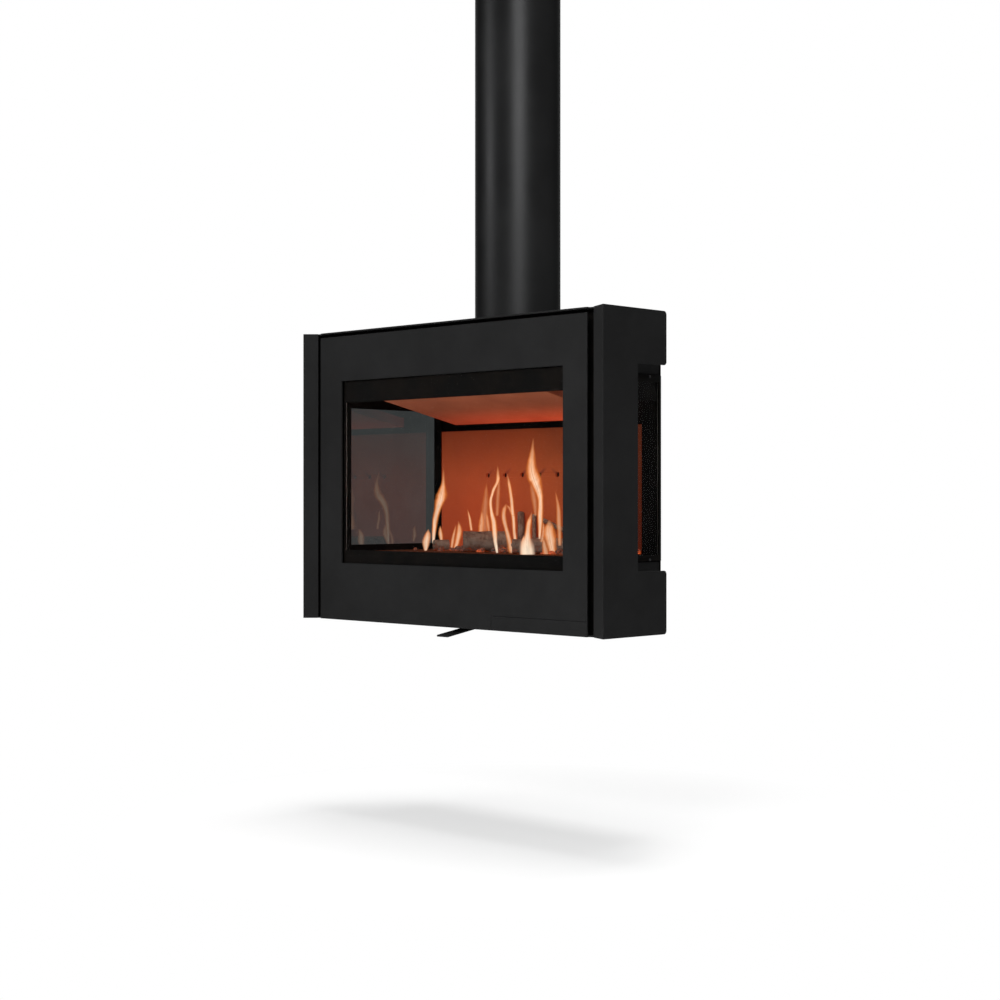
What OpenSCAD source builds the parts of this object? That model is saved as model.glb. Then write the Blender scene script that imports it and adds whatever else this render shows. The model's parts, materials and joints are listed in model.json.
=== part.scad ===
// Hanging wood-burning fireplace: a firebox with glass on three sides between two folded
// wings, carried from the ceiling by its flue pipe.
// Millimetres, +Z up, +X to the right of someone facing the door, who stands on the -Y side.
// The origin is the centre of the ceiling anchors, on the ceiling plane, on the flue axis.

/* [Hanging] */
// Height of the ceiling above the lower edge of the body
ceiling_h = 1540; // [1300:1:2600]
// Side of the square ceiling plate
ceiling_plate_w = 320; // [300:1:380]
// Thickness of the ceiling plate
ceiling_plate_t = 8; // [6:0.5:12]
// Distance between neighbouring ceiling anchors, both ways
anchor_pitch = 260; // [240:1:280]
// Diameter of each anchor hole
anchor_hole_d = 12; // [9:0.5:14]
// Depth of the rosette over the ceiling plate
rosette_h = 38; // [36:1:60]
// Sheet thickness of the rosette
rosette_t = 1.5; // [1:0.1:2.5]
// Height of the socket ring that enters the pipe
socket_h = 60; // [45:1:90]
// Wall of the socket ring
socket_t = 6; // [4:0.5:8]
// Outer diameter of the load-carrying pipe
pipe_d = 200; // [190:1:215]
// Wall of the load-carrying pipe
pipe_t = 3; // [2:0.1:4]
// Width of the flange at the foot of the pipe, outside the pipe
pipe_flange_w = 25; // [22:1:30]
// Thickness of that flange
pipe_flange_t = 5; // [4:0.5:8]
// Outer diameter of the flue liner
liner_d = 150; // [140:1:152]
// Wall of the flue liner
liner_t = 1.2; // [0.8:0.1:2]
// How far the liner stands above the ceiling plane
liner_stub = 50; // [30:1:120]
// Length of the necked spigot at the liner's top
liner_neck_l = 45; // [20:1:48]
// How much the neck is drawn in, in radius
liner_neck_in = 0.6; // [0.4:0.1:1]
// Height of the collar's spigot inside the liner
collar_h = 40; // [25:1:70]
// Wall of the collar's spigot
collar_t = 4; // [3:0.5:6]

/* [Body] */
// Width over both wings
body_w = 960; // [920:1:1100]
// Height of the wings
body_h = 685; // [675:1:760]
// Distance from the flue axis to the door's face
door_face = 228; // [222:1:245]
// How far the wings' front corners stand ahead of the door's face
wing_lead = 21; // [12:1:24]
// Depth of each wing's side face
wing_d = 205; // [180:1:240]
// Sheet thickness of the wings
wing_t = 3; // [2:0.5:4]
// Depth of the notch in each wing's rear edge
notch_d = 94; // [60:1:110]
// Height of the notch's lower edge
notch_sill = 135; // [100:1:180]
// Distance from the wings' top down to the notch
notch_drop = 115; // [90:1:150]
// Radius of the wings' rear corners
wing_corner_r = 8; // [3:0.5:15]
// How far the left wing's nose turns in
left_nose_in = 27; // [15:1:40]
// How far the left wing's nose turns back
left_nose_back = 26; // [15:1:28]
// How far the right wing's nose turns in
right_nose_in = 47; // [30:1:55]
// How far the right wing's nose turns back
right_nose_back = 24; // [15:1:28]
// Width of the wings' inner fastening flanges
wing_flange_w = 18; // [14:1:24]
// Thickness of the top and bottom casings
lid_t = 3.5; // [2:0.5:5]
// Thickness of the front frame
front_frame_t = 3; // [2:0.5:4]
// Space between the door plate's back and the front frame
hinge_space = 24; // [22:1:30]
// How far the rear shield stays inside each bezel's face
shield_inset = 7; // [5:1:20]
// Sheet thickness of the shield and of the rear casing
rear_t = 2; // [1.5:0.5:3]
// How far the rear casing stays inside each end of the shield
rear_casing_inset = 43; // [25:1:90]
// Depth of the rear casing behind the shield
rear_casing_d = 50; // [30:1:80]

/* [Firebox] */
// Space between each wing and the bezel beside it
side_space = 112; // [108:1:150]
// Plate thickness of the firebox
firebox_t = 4; // [3:0.5:6]
// Height of the firebox's underside
firebox_z = 150; // [130:1:158]
// Space over the firebox, up to the body's top
head_space = 125; // [110:1:135]
// Distance from the flue axis to the firebox's rear face
firebox_back = 84; // [80:1:110]
// Height of the mouth's lower edge above the firebox's underside
mouth_lift = 16; // [12:1:24]
// Distance from the firebox's top down to the mouth
mouth_drop = 44; // [28:1:60]
// Width of the mouth ring outside the chamber
mouth_ring_w = 24; // [22:1:30]
// Height of the left side window's lower edge above the firebox's underside
left_side_lift = 28; // [16:1:34]
// Height of the right side window's lower edge above the firebox's underside
right_side_lift = 16; // [16:1:34]
// Distance from the firebox's top down to the side windows
side_drop = 57; // [50:1:100]
// Distance from the flue axis to the side windows' rear edge
side_rear = 71; // [40:1:71]
// Thickness of every glass
glass_t = 4; // [3:0.5:6]
// How far each side glass laps over its window
glass_lap = 10; // [8:1:14]
// Lap of the side glass over its window at the rear
glass_rear_lap = 4; // [3:0.5:6]
// Thickness of the side glass gaskets
side_gasket_t = 2; // [1:0.5:4]
// Sheet thickness of the bezels
bezel_t = 2; // [1.5:0.5:3]
// Width of the bezels' upper rail
bezel_rail_high = 16; // [12:1:40]
// Distance from the side windows' lower edge down to the bezels' openings
bezel_low_drop = 3; // [1:0.5:6]
// Thickness of the rear lining
lining_t = 6; // [6:1:12]
// Distance from the firebox's top down to the rear lining
lining_drop = 106; // [98:1:150]
// Thickness of the hearth floor
floor_t = 9; // [8:1:30]
// Number of air holes in the rear lining
air_holes = 7; // [2:1:12]
// Distance between the air holes
air_hole_pitch = 57; // [40:1:58]
// Diameter of the air holes
air_hole_d = 12; // [6:1:20]
// Height of the air holes above the hearth floor
air_hole_h = 181; // [100:1:200]
// Gap for the smoke at each side of the baffle
smoke_gap = 92; // [60:1:120]
// Thickness of the baffle
baffle_t = 25; // [18:1:30]
// Distance from the firebox's top down to the baffle's underside at the rear
baffle_rear_drop = 92; // [80:1:96]
// Distance from the firebox's top down to the baffle's underside at the front
baffle_front_drop = 40; // [38:1:60]

/* [Door] */
// Thickness of the door plate
plate_t = 4; // [3:0.5:6]
// Gap between the door plate and the left wing's nose
left_gap = 14.5; // [13:0.5:20]
// Gap between the door plate and the right wing's nose
right_gap = 15.5; // [6:0.5:20]
// Gap between the door plate and the top casing
top_gap = 8; // [3:0.5:12]
// How far the window reaches past the chamber on the left
window_left_lap = 9; // [4:0.5:20]
// How far the window reaches past the chamber on the right
window_right_lap = -3.5; // [-8:0.5:2]
// How far the window reaches below the mouth
window_low_lap = 31; // [20:1:36]
// How far the window reaches above the mouth
window_high_lap = 51; // [20:1:56]
// How far the door glass laps over the window
door_glass_lap = 15; // [8:1:18]
// Sheet thickness of the door frame
door_frame_t = 2.5; // [2:0.5:4]
// Width of the rim of the door frame outside the glass
door_rim_w = 12; // [10:1:16]
// How far the door frame's opening lies outside the chamber on the left
frame_left_lap = 3; // [0:0.5:6]
// How far the door frame's opening lies outside the chamber on the right
frame_right_lap = 5; // [0:0.5:6]
// Width of the door gasket
gasket_w = 12; // [8:1:14]
// Distance of the door gasket from the mouth's edge
gasket_inset = 6; // [2:1:8]
// Distance from the door plate's left edge to the hinge axis
hinge_inset = 8.5; // [7:0.5:9]
// Diameter of the hinge pins
hinge_pin_d = 8; // [6:0.5:9]
// Outer diameter of the hinge knuckles
knuckle_d = 16; // [14:0.5:18]
// Height of each knuckle
knuckle_h = 32; // [20:1:50]
// Height of the lower hinge
hinge_low_z = 95; // [60:1:120]
// Distance from the body's top down to the upper hinge
hinge_drop = 93; // [75:1:125]
// Length of the door pull
pull_w = 279; // [150:1:320]
// Height of the door pull
pull_h = 31.5; // [26:0.5:45]
// Seam between the door pull and the door plate
seam = 0.6; // [0.6:0.1:2]
// How far the door pull comes out
pull_travel = 8; // [5:0.5:10]
// Diameter of the door pull's guide rods
rod_d = 8; // [6:0.5:10]

/* [Air control] */
// Width of the air lever
lever_w = 36; // [24:1:50]
// Thickness of the air lever
lever_t = 4; // [3:0.5:6]
// How far the lever's tip stands ahead of the door's face
lever_lead = 15; // [5:1:40]
// Slope of the lever's front part in degrees
lever_slope = 9; // [0:0.5:15]
// Distance from the flue axis to the lever's bend
lever_bend = 150; // [120:1:180]
// Distance from the flue axis to the lever's pivot
lever_pivot = 70; // [50:1:90]
// Shoulder diameter of the spindle
spindle_d = 16; // [12:0.5:20]
// Neck diameter of the spindle
spindle_neck_d = 10; // [8:0.5:12]
// Height of the air box's underside
air_box_z = 60; // [40:1:80]
// Width of the air box
air_box_w = 300; // [220:1:400]
// Depth of the air box
air_box_d = 210; // [200:1:240]
// Sheet thickness of the air box
air_box_t = 2; // [1.5:0.5:3]
// Diameter of the valve plate
valve_d = 170; // [160:1:190]
// Diameter of the air inlets
inlet_d = 40; // [25:1:45]
// Distance of the air inlets from the spindle
inlet_r = 52; // [45:1:58]

/* [Hidden] */
$fn = 96;

// Clearances: between faces that slide or are set in place, round running pins, round screws
slip = 0.3;
run_fit = 0.05;
hole_fit = 0.2;
// What a cut reaches past the faces it goes through
past = 1;

// Screw sizes: shank radius, head radius, head height
m3 = [1.5, 2.8, 2];
m4 = [2, 3.8, 2.6];
m6 = [3, 5, 3.5];
m8 = [4, 6.5, 5.3];

// Depth levels, in Y from the flue axis
plate_y = -door_face;
plate_back = plate_y + plate_t;
wing_y = plate_y - wing_lead;
wing_rear = wing_y + wing_d;
notch_y = wing_rear - notch_d;
frame_y = plate_back + hinge_space;
glass_back = plate_back + glass_t;
door_frame_back = glass_back + door_frame_t;
mouth_y = door_frame_back + 7.5;
lining_y = firebox_back - firebox_t - lining_t;
rear_y = firebox_back + rear_t;
base_hole_y = mouth_y + 60;
hinge_y = plate_back + hinge_space / 2;

// Width levels
wing_in = body_w / 2 - wing_t;
chamber_w = 2 * (wing_in - side_space - bezel_t - glass_t - side_gasket_t - firebox_t);
plate_left = -(body_w / 2 - left_nose_in - left_gap);
plate_right = body_w / 2 - right_nose_in - right_gap;
window_left = -(chamber_w / 2 + window_left_lap);
window_right = chamber_w / 2 + window_right_lap;
hinge_x = plate_left + hinge_inset;
chamber_x = chamber_w / 2;
side_x = chamber_x + firebox_t;
side_glass_x = side_x + side_gasket_t;
bezel_x = side_glass_x + glass_t;
door_heel_r = sqrt(hinge_inset * hinge_inset + (hinge_y - plate_y) * (hinge_y - plate_y));
shield_w = 2 * (bezel_x + bezel_t - shield_inset);
rear_casing_w = shield_w - 2 * rear_casing_inset;
skirt_x = shield_w / 2 - lid_t;
baffle_w = chamber_w - 2 * smoke_gap;

// Height levels
lid_z = body_h - lid_t;
plate_top = lid_z - top_gap;
firebox_top = body_h - head_space;
notch_head = body_h - notch_drop;
mouth_sill = firebox_z + mouth_lift;
mouth_head = firebox_top - mouth_drop;
window_sill = mouth_sill - window_low_lap;
window_head = mouth_head + window_high_lap;
function side_sill(side) = firebox_z + (side < 0 ? left_side_lift : right_side_lift);
side_head = firebox_top - side_drop;
bezel_head = firebox_top - bezel_rail_high;
lining_top = firebox_top - lining_drop;
baffle_rear_z = firebox_top - baffle_rear_drop;
baffle_front_z = firebox_top - baffle_front_drop;
hinge_high_z = body_h - hinge_drop;
floor_z = firebox_z + firebox_t;
hearth_z = floor_z + floor_t;
pipe_foot = firebox_top;

// Flue radii
pipe_r = pipe_d / 2;
pipe_in = pipe_r - pipe_t;
liner_r = liner_d / 2;
liner_in = liner_r - liner_t;
spigot_r = liner_in - slip;
collar_bore_r = spigot_r - collar_t;
collar_flange_r = liner_r + 12;
collar_flange_t = 6;
flange_r = pipe_r + pipe_flange_w;
flange_bolt_r = pipe_r + pipe_flange_w / 2;
flange_bolt_n = 6;
pipe_screw_z = -ceiling_plate_t - socket_h / 3;

// A block given by its lowest and its highest corner
module block(low, high) {
    translate(low)
        cube([high[0] - low[0], high[1] - low[1], high[2] - low[2]]);
}

// A block set by body heights: everything below the ceiling is drawn from the body's edge
module hung() {
    translate([0, 0, -ceiling_h])
        children();
}

// Children and their mirror image on the left
module on_side(side) {
    mirror([side < 0 ? 1 : 0, 0, 0])
        children();
}

// Children at each place in a list
module at(places) {
    for (place = places)
        translate(place)
            children();
}

// A shape drawn in (Y, Z), carried along X
module along_x(x_low, x_high) {
    translate([x_low, 0, 0])
        rotate([90, 0, 90])
            linear_extrude(x_high - x_low)
                children();
}

// A screw with its head's underside at the origin and its shank pointing down -Z
module screw(size, length) {
    cylinder(r = size[1], h = size[2]);
    translate([0, 0, -length])
        cylinder(r = size[0], h = length + size[2] / 2);
}

// The hole for a screw, along Z, through both ways
module screw_hole(size, reach) {
    translate([0, 0, -reach])
        cylinder(r = size[0] + hole_fit, h = 2 * reach);
}

// How deep the head of a flush screw goes
function flush_depth(size) = size[1] - size[0] - 0.2;

// A flush screw: its head's upper face at the origin and its shank pointing down -Z
module flush_screw(size, length) {
    deep = flush_depth(size);
    translate([0, 0, -deep])
        cylinder(r1 = size[1] - deep, r2 = size[1], h = deep);
    translate([0, 0, -length])
        cylinder(r = size[0], h = length - deep / 2);
}

// The hole for a flush screw, with its cone, along -Z
module flush_hole(size, reach) {
    deep = flush_depth(size);
    screw_hole(size, reach);
    translate([0, 0, -deep])
        cylinder(r1 = size[1] - deep + hole_fit, r2 = size[1] + hole_fit, h = deep);
    cylinder(r = size[1] + hole_fit, h = past);
}

// Corners of a square, at a height
function square_places(pitch, z) = [for (sx = [-1, 1], sy = [-1, 1])
    [sx * pitch / 2, sy * pitch / 2, z]];

// ---------------------------------------------------------------- hanging

rosette_fit = 0.5;
rosette_w = ceiling_plate_w + 2 * rosette_fit + 2 * rosette_t;
rosette_screw_x = ceiling_plate_w / 4;

// Turns a screw drawn along Z so that it enters the edge that faces -Y
module rosette_screw_places() {
    for (turn = [0, 180], sx = [-1, 1])
        rotate([0, 0, turn])
            translate([sx * rosette_screw_x, -rosette_w / 2, -ceiling_plate_t / 2])
                rotate([90, 0, 0])
                    children();
}

module pipe_screw_places() {
    for (turn = [45 : 90 : 315])
        rotate([0, 0, turn])
            translate([0, -pipe_r, pipe_screw_z])
                rotate([90, 0, 0])
                    children();
}

module ceiling_plate() {
    socket_r = pipe_in - slip;
    color([0.25, 0.25, 0.26])
        difference() {
            union() {
                block([-ceiling_plate_w / 2, -ceiling_plate_w / 2, -ceiling_plate_t],
                    [ceiling_plate_w / 2, ceiling_plate_w / 2, 0]);
                translate([0, 0, -ceiling_plate_t - socket_h])
                    cylinder(r = socket_r, h = socket_h + ceiling_plate_t / 2);
            }
            translate([0, 0, -ceiling_plate_t - socket_h - past])
                cylinder(r = socket_r - socket_t, h = socket_h + past);
            translate([0, 0, -ceiling_plate_t - past])
                cylinder(r = liner_r + 1.5, h = ceiling_plate_t + 2 * past);
            at(square_places(anchor_pitch, -ceiling_plate_t / 2))
                cylinder(d = anchor_hole_d, h = ceiling_plate_t + 2 * past, center = true);
            pipe_screw_places()
                screw_hole(m6, pipe_t + slip + socket_t + past);
            rosette_screw_places()
                screw_hole(m3, 14);
        }
}

module ceiling_rosette() {
    color([0.09, 0.09, 0.09])
        difference() {
            block([-rosette_w / 2, -rosette_w / 2, -rosette_h], [rosette_w / 2, rosette_w / 2, 0]);
            block([-rosette_w / 2 + rosette_t, -rosette_w / 2 + rosette_t, -rosette_h + rosette_t],
                [rosette_w / 2 - rosette_t, rosette_w / 2 - rosette_t, past]);
            translate([0, 0, -rosette_h - past])
                cylinder(r = pipe_r + 1, h = rosette_t + 2 * past);
            rosette_screw_places()
                screw_hole(m3, 14);
        }
}

module rosette_screws() {
    color([0.15, 0.15, 0.15])
        rosette_screw_places()
            screw(m3, 10);
}

module outer_pipe() {
    foot = pipe_foot - ceiling_h;
    color([0.11, 0.11, 0.11])
        difference() {
            translate([0, 0, foot])
                cylinder(r = pipe_r, h = -ceiling_plate_t - foot);
            translate([0, 0, foot - past])
                cylinder(r = pipe_in, h = ceiling_h);
            pipe_screw_places()
                screw_hole(m6, pipe_t + past);
        }
}

// The ring welded round the pipe's foot, bolted down on the firebox
module pipe_flange() {
    color([0.11, 0.11, 0.11])
        difference() {
            translate([0, 0, pipe_foot - ceiling_h])
                cylinder(r = flange_r, h = pipe_flange_t);
            translate([0, 0, pipe_foot - ceiling_h - past])
                cylinder(r = pipe_r, h = pipe_flange_t + 2 * past);
            flange_bolt_places()
                screw_hole(m8, pipe_flange_t + past);
        }
}

module pipe_screws() {
    color([0.15, 0.15, 0.15])
        pipe_screw_places()
            screw(m6, pipe_t + socket_t);
}

module flue_liner() {
    seat = pipe_foot + collar_flange_t - ceiling_h;
    top = liner_stub - seat;
    shoulder = top - liner_neck_l;
    neck_r_out = liner_r - liner_neck_in;
    color([0.7, 0.7, 0.72])
        translate([0, 0, seat])
            rotate_extrude()
                polygon([[liner_in, 0], [liner_r, 0], [liner_r, shoulder], [neck_r_out, shoulder],
                    [neck_r_out, top], [neck_r_out - liner_t, top],
                    [neck_r_out - liner_t, shoulder - liner_t], [liner_in, shoulder - liner_t]]);
}

module flue_collar() {
    color([0.12, 0.12, 0.12])
        hung()
            translate([0, 0, pipe_foot])
                difference() {
                    union() {
                        cylinder(r = collar_flange_r, h = collar_flange_t);
                        cylinder(r = spigot_r, h = collar_flange_t + collar_h);
                    }
                    translate([0, 0, -past])
                        cylinder(r = collar_bore_r, h = collar_flange_t + collar_h + 2 * past);
                }
}

module flange_bolt_places() {
    for (turn = [0 : 360 / flange_bolt_n : 359])
        rotate([0, 0, turn])
            translate([flange_bolt_r, 0, pipe_foot + pipe_flange_t - ceiling_h])
                children();
}

module flange_bolts() {
    color([0.35, 0.35, 0.36])
        flange_bolt_places()
            screw(m8, pipe_flange_t + firebox_t + 6);
}

// ---------------------------------------------------------------- casing

// One rearward arm of a wing in (Y, Z), with its two rear corners rounded
module wing_arm(z_low, z_high) {
    r = min(wing_corner_r, (z_high - z_low) / 2 - 1);
    translate([notch_y - past, z_low])
        square([notch_d + past - r, z_high - z_low]);
    translate([notch_y - past, z_low + r])
        square([notch_d + past, z_high - z_low - 2 * r]);
    for (z = [z_low + r, z_high - r])
        translate([wing_rear - r, z])
            circle(r = r);
}

// Side view of a wing in (Y, Z)
module wing_side() {
    translate([wing_y - past, 0])
        square([notch_y - wing_y + past, body_h]);
    wing_arm(0, notch_sill);
    wing_arm(notch_head, body_h);
}

// Plan of a wing, with its side face on x = 0 and the body on the +x side. The nose's inner
// face lies wing_t behind its outer face, and meets the side's inner face in a mitre.
module wing_plan(nose_in, nose_back) {
    reach = sqrt(nose_in * nose_in + nose_back * nose_back);
    ux = nose_in / reach;
    uy = nose_back / reach;
    tip = [nose_in, wing_y + nose_back];
    tip_in = [tip[0] - wing_t * uy, tip[1] + wing_t * ux];
    mitre = [wing_t, tip_in[1] - (tip_in[0] - wing_t) * uy / ux];
    round = 2;
    polygon([[0, wing_rear], [0, wing_y + round], [round * ux * 0.35, wing_y + round * 0.35],
        [round * ux, wing_y + round * uy], tip, tip_in, mitre, [wing_t, wing_rear]]);
}

// Places of the wing's screws along Y, in both the top and the bottom flange
function wing_screw_ys() = [notch_y - 20, wing_rear - 30];
flange_edge_y = frame_y + front_frame_t + 2;

module wing(nose_in, nose_back) {
    intersection() {
        difference() {
            union() {
                linear_extrude(body_h)
                    wing_plan(nose_in, nose_back);
                block([0, wing_rear - wing_t, 0], [wing_flange_w, wing_rear, lid_z - slip]);
                block([wing_t / 2, flange_edge_y, lid_t],
                    [wing_flange_w, wing_rear - wing_t / 2, lid_t + wing_t]);
                block([wing_t / 2, flange_edge_y, lid_z - wing_t],
                    [wing_flange_w, wing_rear - wing_t / 2, lid_z]);
            }
            block([wing_t, wing_rear - wing_t - past, -past],
                [wing_flange_w + past, wing_rear + past, lid_t]);
            for (y = wing_screw_ys())
                translate([wing_t + wing_flange_w / 2 - 1, y, body_h / 2])
                    screw_hole(m4, body_h);
        }
        along_x(-past, wing_flange_w + nose_in)
            wing_side();
    }
}

module left_wing() {
    color([0.12, 0.12, 0.12])
        hung()
            translate([-body_w / 2, 0, 0])
                wing(left_nose_in, left_nose_back);
}

module right_wing() {
    color([0.12, 0.12, 0.12])
        hung()
            translate([body_w / 2, 0, 0])
                mirror([1, 0, 0])
                    wing(right_nose_in, right_nose_back);
}

// Plan of the top and bottom casings: between the wings, over the firebox and the rear casing
module lid_plan(front) {
    nose_clear = wing_y + max(left_nose_back, right_nose_back) + wing_t + 1;
    side_end = wing_rear - wing_corner_r;
    translate([-wing_in + slip, nose_clear])
        square([2 * (wing_in - slip), side_end - nose_clear]);
    translate([plate_left, front])
        square([plate_right - plate_left, nose_clear - front + past]);
    translate([-shield_w / 2, side_end - past])
        square([shield_w, rear_y - side_end + past]);
    translate([-rear_casing_w / 2, rear_y - past])
        square([rear_casing_w, rear_casing_d + past]);
}

// Skirts that close the body's sides above or below the firebox
module skirts(z_low, z_high) {
    for (side = [-1, 1])
        on_side(side)
            block([skirt_x - lid_t, notch_y - 10, z_low], [skirt_x, firebox_back, z_high]);
}

// Where screws join the wings and the rear casing to a lid, in plan
function lid_screw_places() = [for (sx = [-1, 1], y = wing_screw_ys())
    [sx * (body_w / 2 - wing_t - wing_flange_w / 2 + 1), y]];

module top_casing() {
    color([0.12, 0.12, 0.12])
        hung()
            difference() {
                union() {
                    translate([0, 0, lid_z])
                        linear_extrude(lid_t)
                            lid_plan(plate_y);
                    skirts(firebox_top + 2, lid_z + lid_t / 2);
                }
                translate([0, 0, lid_z - past])
                    cylinder(r = pipe_r + 2, h = lid_t + 2 * past);
                for (place = lid_screw_places())
                    translate([place[0], place[1], body_h])
                        flush_hole(m4, lid_t + past);
            }
}

vent_n = 9;
vent_w = 8;
vent_l = 60;

module bottom_casing() {
    color([0.12, 0.12, 0.12])
        hung()
            difference() {
                union() {
                    linear_extrude(lid_t)
                        lid_plan(plate_back + 2);
                    skirts(lid_t / 2, firebox_z - 2);
                }
                translate([0, -lever_pivot, -past])
                    cylinder(r = bush_r, h = lid_t + 2 * past);
                translate([hinge_x, hinge_y, -past])
                    cylinder(r = door_heel_r + 1, h = lid_t + 2 * past);
                for (i = [0 : vent_n - 1], side = [-1, 1])
                    translate([side * (spindle_d + 40 + i * 2 * vent_w), -lever_pivot - vent_l / 2, -past])
                        cube([vent_w, vent_l, lid_t + 2 * past]);
                for (place = lid_screw_places())
                    translate([place[0], place[1], 0])
                        mirror([0, 0, 1])
                            flush_hole(m4, lid_t + past);
            }
}

// The upright plate behind the door: it joins the wings, the lids and the firebox
module front_frame() {
    color([0.04, 0.04, 0.04])
        hung()
            difference() {
                block([-wing_in + slip, frame_y, lid_t],
                    [wing_in - slip, frame_y + front_frame_t, lid_z]);
                block([-bezel_x - bezel_t - slip, frame_y - past, firebox_z - slip],
                    [bezel_x + bezel_t + slip, frame_y + front_frame_t + past, firebox_top + slip]);
                hinge_screw_places()
                    screw_hole(m4, front_frame_t + 3);
            }
}

// Clear way for the pipe through the shield
pipe_slot_x = flange_r + 3;

module rear_shield() {
    color([0.12, 0.12, 0.12])
        hung()
            difference() {
                block([-shield_w / 2, firebox_back, lid_t], [shield_w / 2, rear_y, lid_z]);
                block([-pipe_slot_x, firebox_back - past, firebox_top - slip],
                    [pipe_slot_x, rear_y + past, lid_z + past]);
                shield_screw_places()
                    screw_hole(m4, rear_t + past);
                rear_screw_places()
                    screw_hole(m4, 2 * rear_t + past);
            }
}

// Distance of the rear screws from the plate edges above and below them
rear_screw_end = 60;
shield_screw_side = 40;

module shield_screw_places() {
    for (sx = [-1, 1], z = [firebox_z + rear_screw_end, firebox_top - rear_screw_end])
        translate([sx * (rear_casing_w / 2 - shield_screw_side), rear_y, z])
            rotate([-90, 0, 0])
                children();
}

rear_flange_w = 16;
rear_screw_zs = [rear_screw_end, body_h / 2, body_h - rear_screw_end];

module rear_screw_places() {
    for (side = [-1, 1], z = rear_screw_zs)
        translate([side * (rear_casing_w / 2 + rear_flange_w / 2), rear_y + rear_t, z])
            rotate([-90, 0, 0])
                children();
}

// A shallow tray closed to the rear, with an opening row near its foot for the combustion air
module rear_casing() {
    back = rear_y + rear_casing_d;
    color([0.12, 0.12, 0.12])
        hung()
            difference() {
                union() {
                    block([-rear_casing_w / 2, back - rear_t, lid_t],
                        [rear_casing_w / 2, back, lid_z]);
                    for (side = [-1, 1])
                        on_side(side) {
                            block([rear_casing_w / 2 - rear_t, rear_y, lid_t],
                                [rear_casing_w / 2, back, lid_z]);
                            block([rear_casing_w / 2 - rear_t, rear_y, lid_t],
                                [rear_casing_w / 2 + rear_flange_w, rear_y + rear_t, lid_z]);
                        }
                }
                rear_screw_places()
                    screw_hole(m4, 2 * rear_t);
                for (i = [-vent_n : vent_n])
                    translate([i * 2 * vent_w * 1.5, back - rear_t - past, firebox_z - vent_l])
                        cube([vent_w, rear_t + 2 * past, vent_l]);
            }
}

module casing_screws() {
    color([0.15, 0.15, 0.15]) {
        hung()
            for (place = lid_screw_places())
                translate([place[0], place[1], 0])
                    mirror([0, 0, 1])
                        flush_screw(m4, lid_t + wing_t + 2);
        hung()
            for (place = lid_screw_places())
                translate([place[0], place[1], body_h])
                    flush_screw(m4, lid_t + wing_t + 2);
        hung()
            shield_screw_places()
                screw(m4, rear_t + firebox_t - slip);
        hung()
            rear_screw_places()
                screw(m4, 2 * rear_t - slip);
    }
}

// ---------------------------------------------------------------- firebox

ring_x = chamber_x + mouth_ring_w;
ring_low = mouth_sill - mouth_ring_w - 4;
ring_high = firebox_top + 14;
side_front = mouth_y + firebox_t + 1.5;

module firebox() {
    color([0.05, 0.05, 0.05])
        hung()
            difference() {
                union() {
                    block([-side_x, mouth_y, firebox_z], [side_x, firebox_back, firebox_top]);
                    block([-ring_x, mouth_y, ring_low], [ring_x, mouth_y + firebox_t, ring_high]);
                }
                block([-chamber_x, mouth_y + firebox_t, floor_z],
                    [chamber_x, firebox_back - firebox_t, firebox_top - firebox_t]);
                block([-chamber_x, mouth_y - past, mouth_sill],
                    [chamber_x, mouth_y + firebox_t + past, mouth_head]);
                for (side = [-1, 1])
                    on_side(side)
                        block([chamber_x - past, side_front, side_sill(side)],
                            [side_x + past, side_rear, side_head]);
                translate([0, 0, firebox_top - firebox_t - past])
                    cylinder(r = collar_bore_r, h = firebox_t + 2 * past);
                at([for (turn = [0 : 360 / flange_bolt_n : 359])
                    [flange_bolt_r * cos(turn), flange_bolt_r * sin(turn), firebox_top]])
                    screw_hole(m8, firebox_t + past);
                for (i = [0 : air_holes - 1])
                    translate([(i - (air_holes - 1) / 2) * air_hole_pitch, firebox_back,
                        hearth_z + air_hole_h])
                        rotate([90, 0, 0])
                            cylinder(d = air_hole_d, h = 2 * firebox_t + 2 * past, center = true);
                shield_screw_places()
                    screw_hole(m4, rear_t + firebox_t + past);
                for (sx = [-1, 1])
                    translate([sx * air_box_w / 4, base_hole_y, firebox_z - past])
                        cylinder(d = inlet_d, h = firebox_t + 2 * past);
                bezel_screw_places()
                    screw_hole(m3, 12);
            }
}

function glass_low(side) = side_sill(side) - glass_lap;
glass_high = bezel_head + glass_lap / 2;
glass_front = mouth_y + firebox_t + slip;
glass_rear = side_rear + glass_rear_lap;

module side_glass(side) {
    color([0.25, 0.26, 0.26, 0.5])
        hung()
            on_side(side)
                block([side_glass_x, glass_front, glass_low(side)],
                    [side_glass_x + glass_t, glass_rear, glass_high]);
}

module left_side_glass() { side_glass(-1); }
module right_side_glass() { side_glass(1); }

module side_gasket(side) {
    color([0.3, 0.3, 0.29])
        hung()
            on_side(side)
                difference() {
                    block([side_x, glass_front, glass_low(side)], [side_glass_x, glass_rear, glass_high]);
                    block([side_x - past, side_front, side_sill(side)],
                        [side_glass_x + past, side_rear, side_head]);
                }
}

module left_glass_gasket() { side_gasket(-1); }
module right_glass_gasket() { side_gasket(1); }

bezel_rear = glass_rear + 3.5;
// Shares of the side window's depth at which screws hold the bezels
bezel_screw_shares = [0.12, 0.5, 0.88];

module bezel_screw_places() {
    for (side = [-1, 1], share = bezel_screw_shares, z = [firebox_z + 3.2, firebox_top - 4])
        on_side(side)
            translate([bezel_x + bezel_t, side_front + share * (side_rear - side_front), z])
                rotate([0, 90, 0])
                    children();
}

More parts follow.
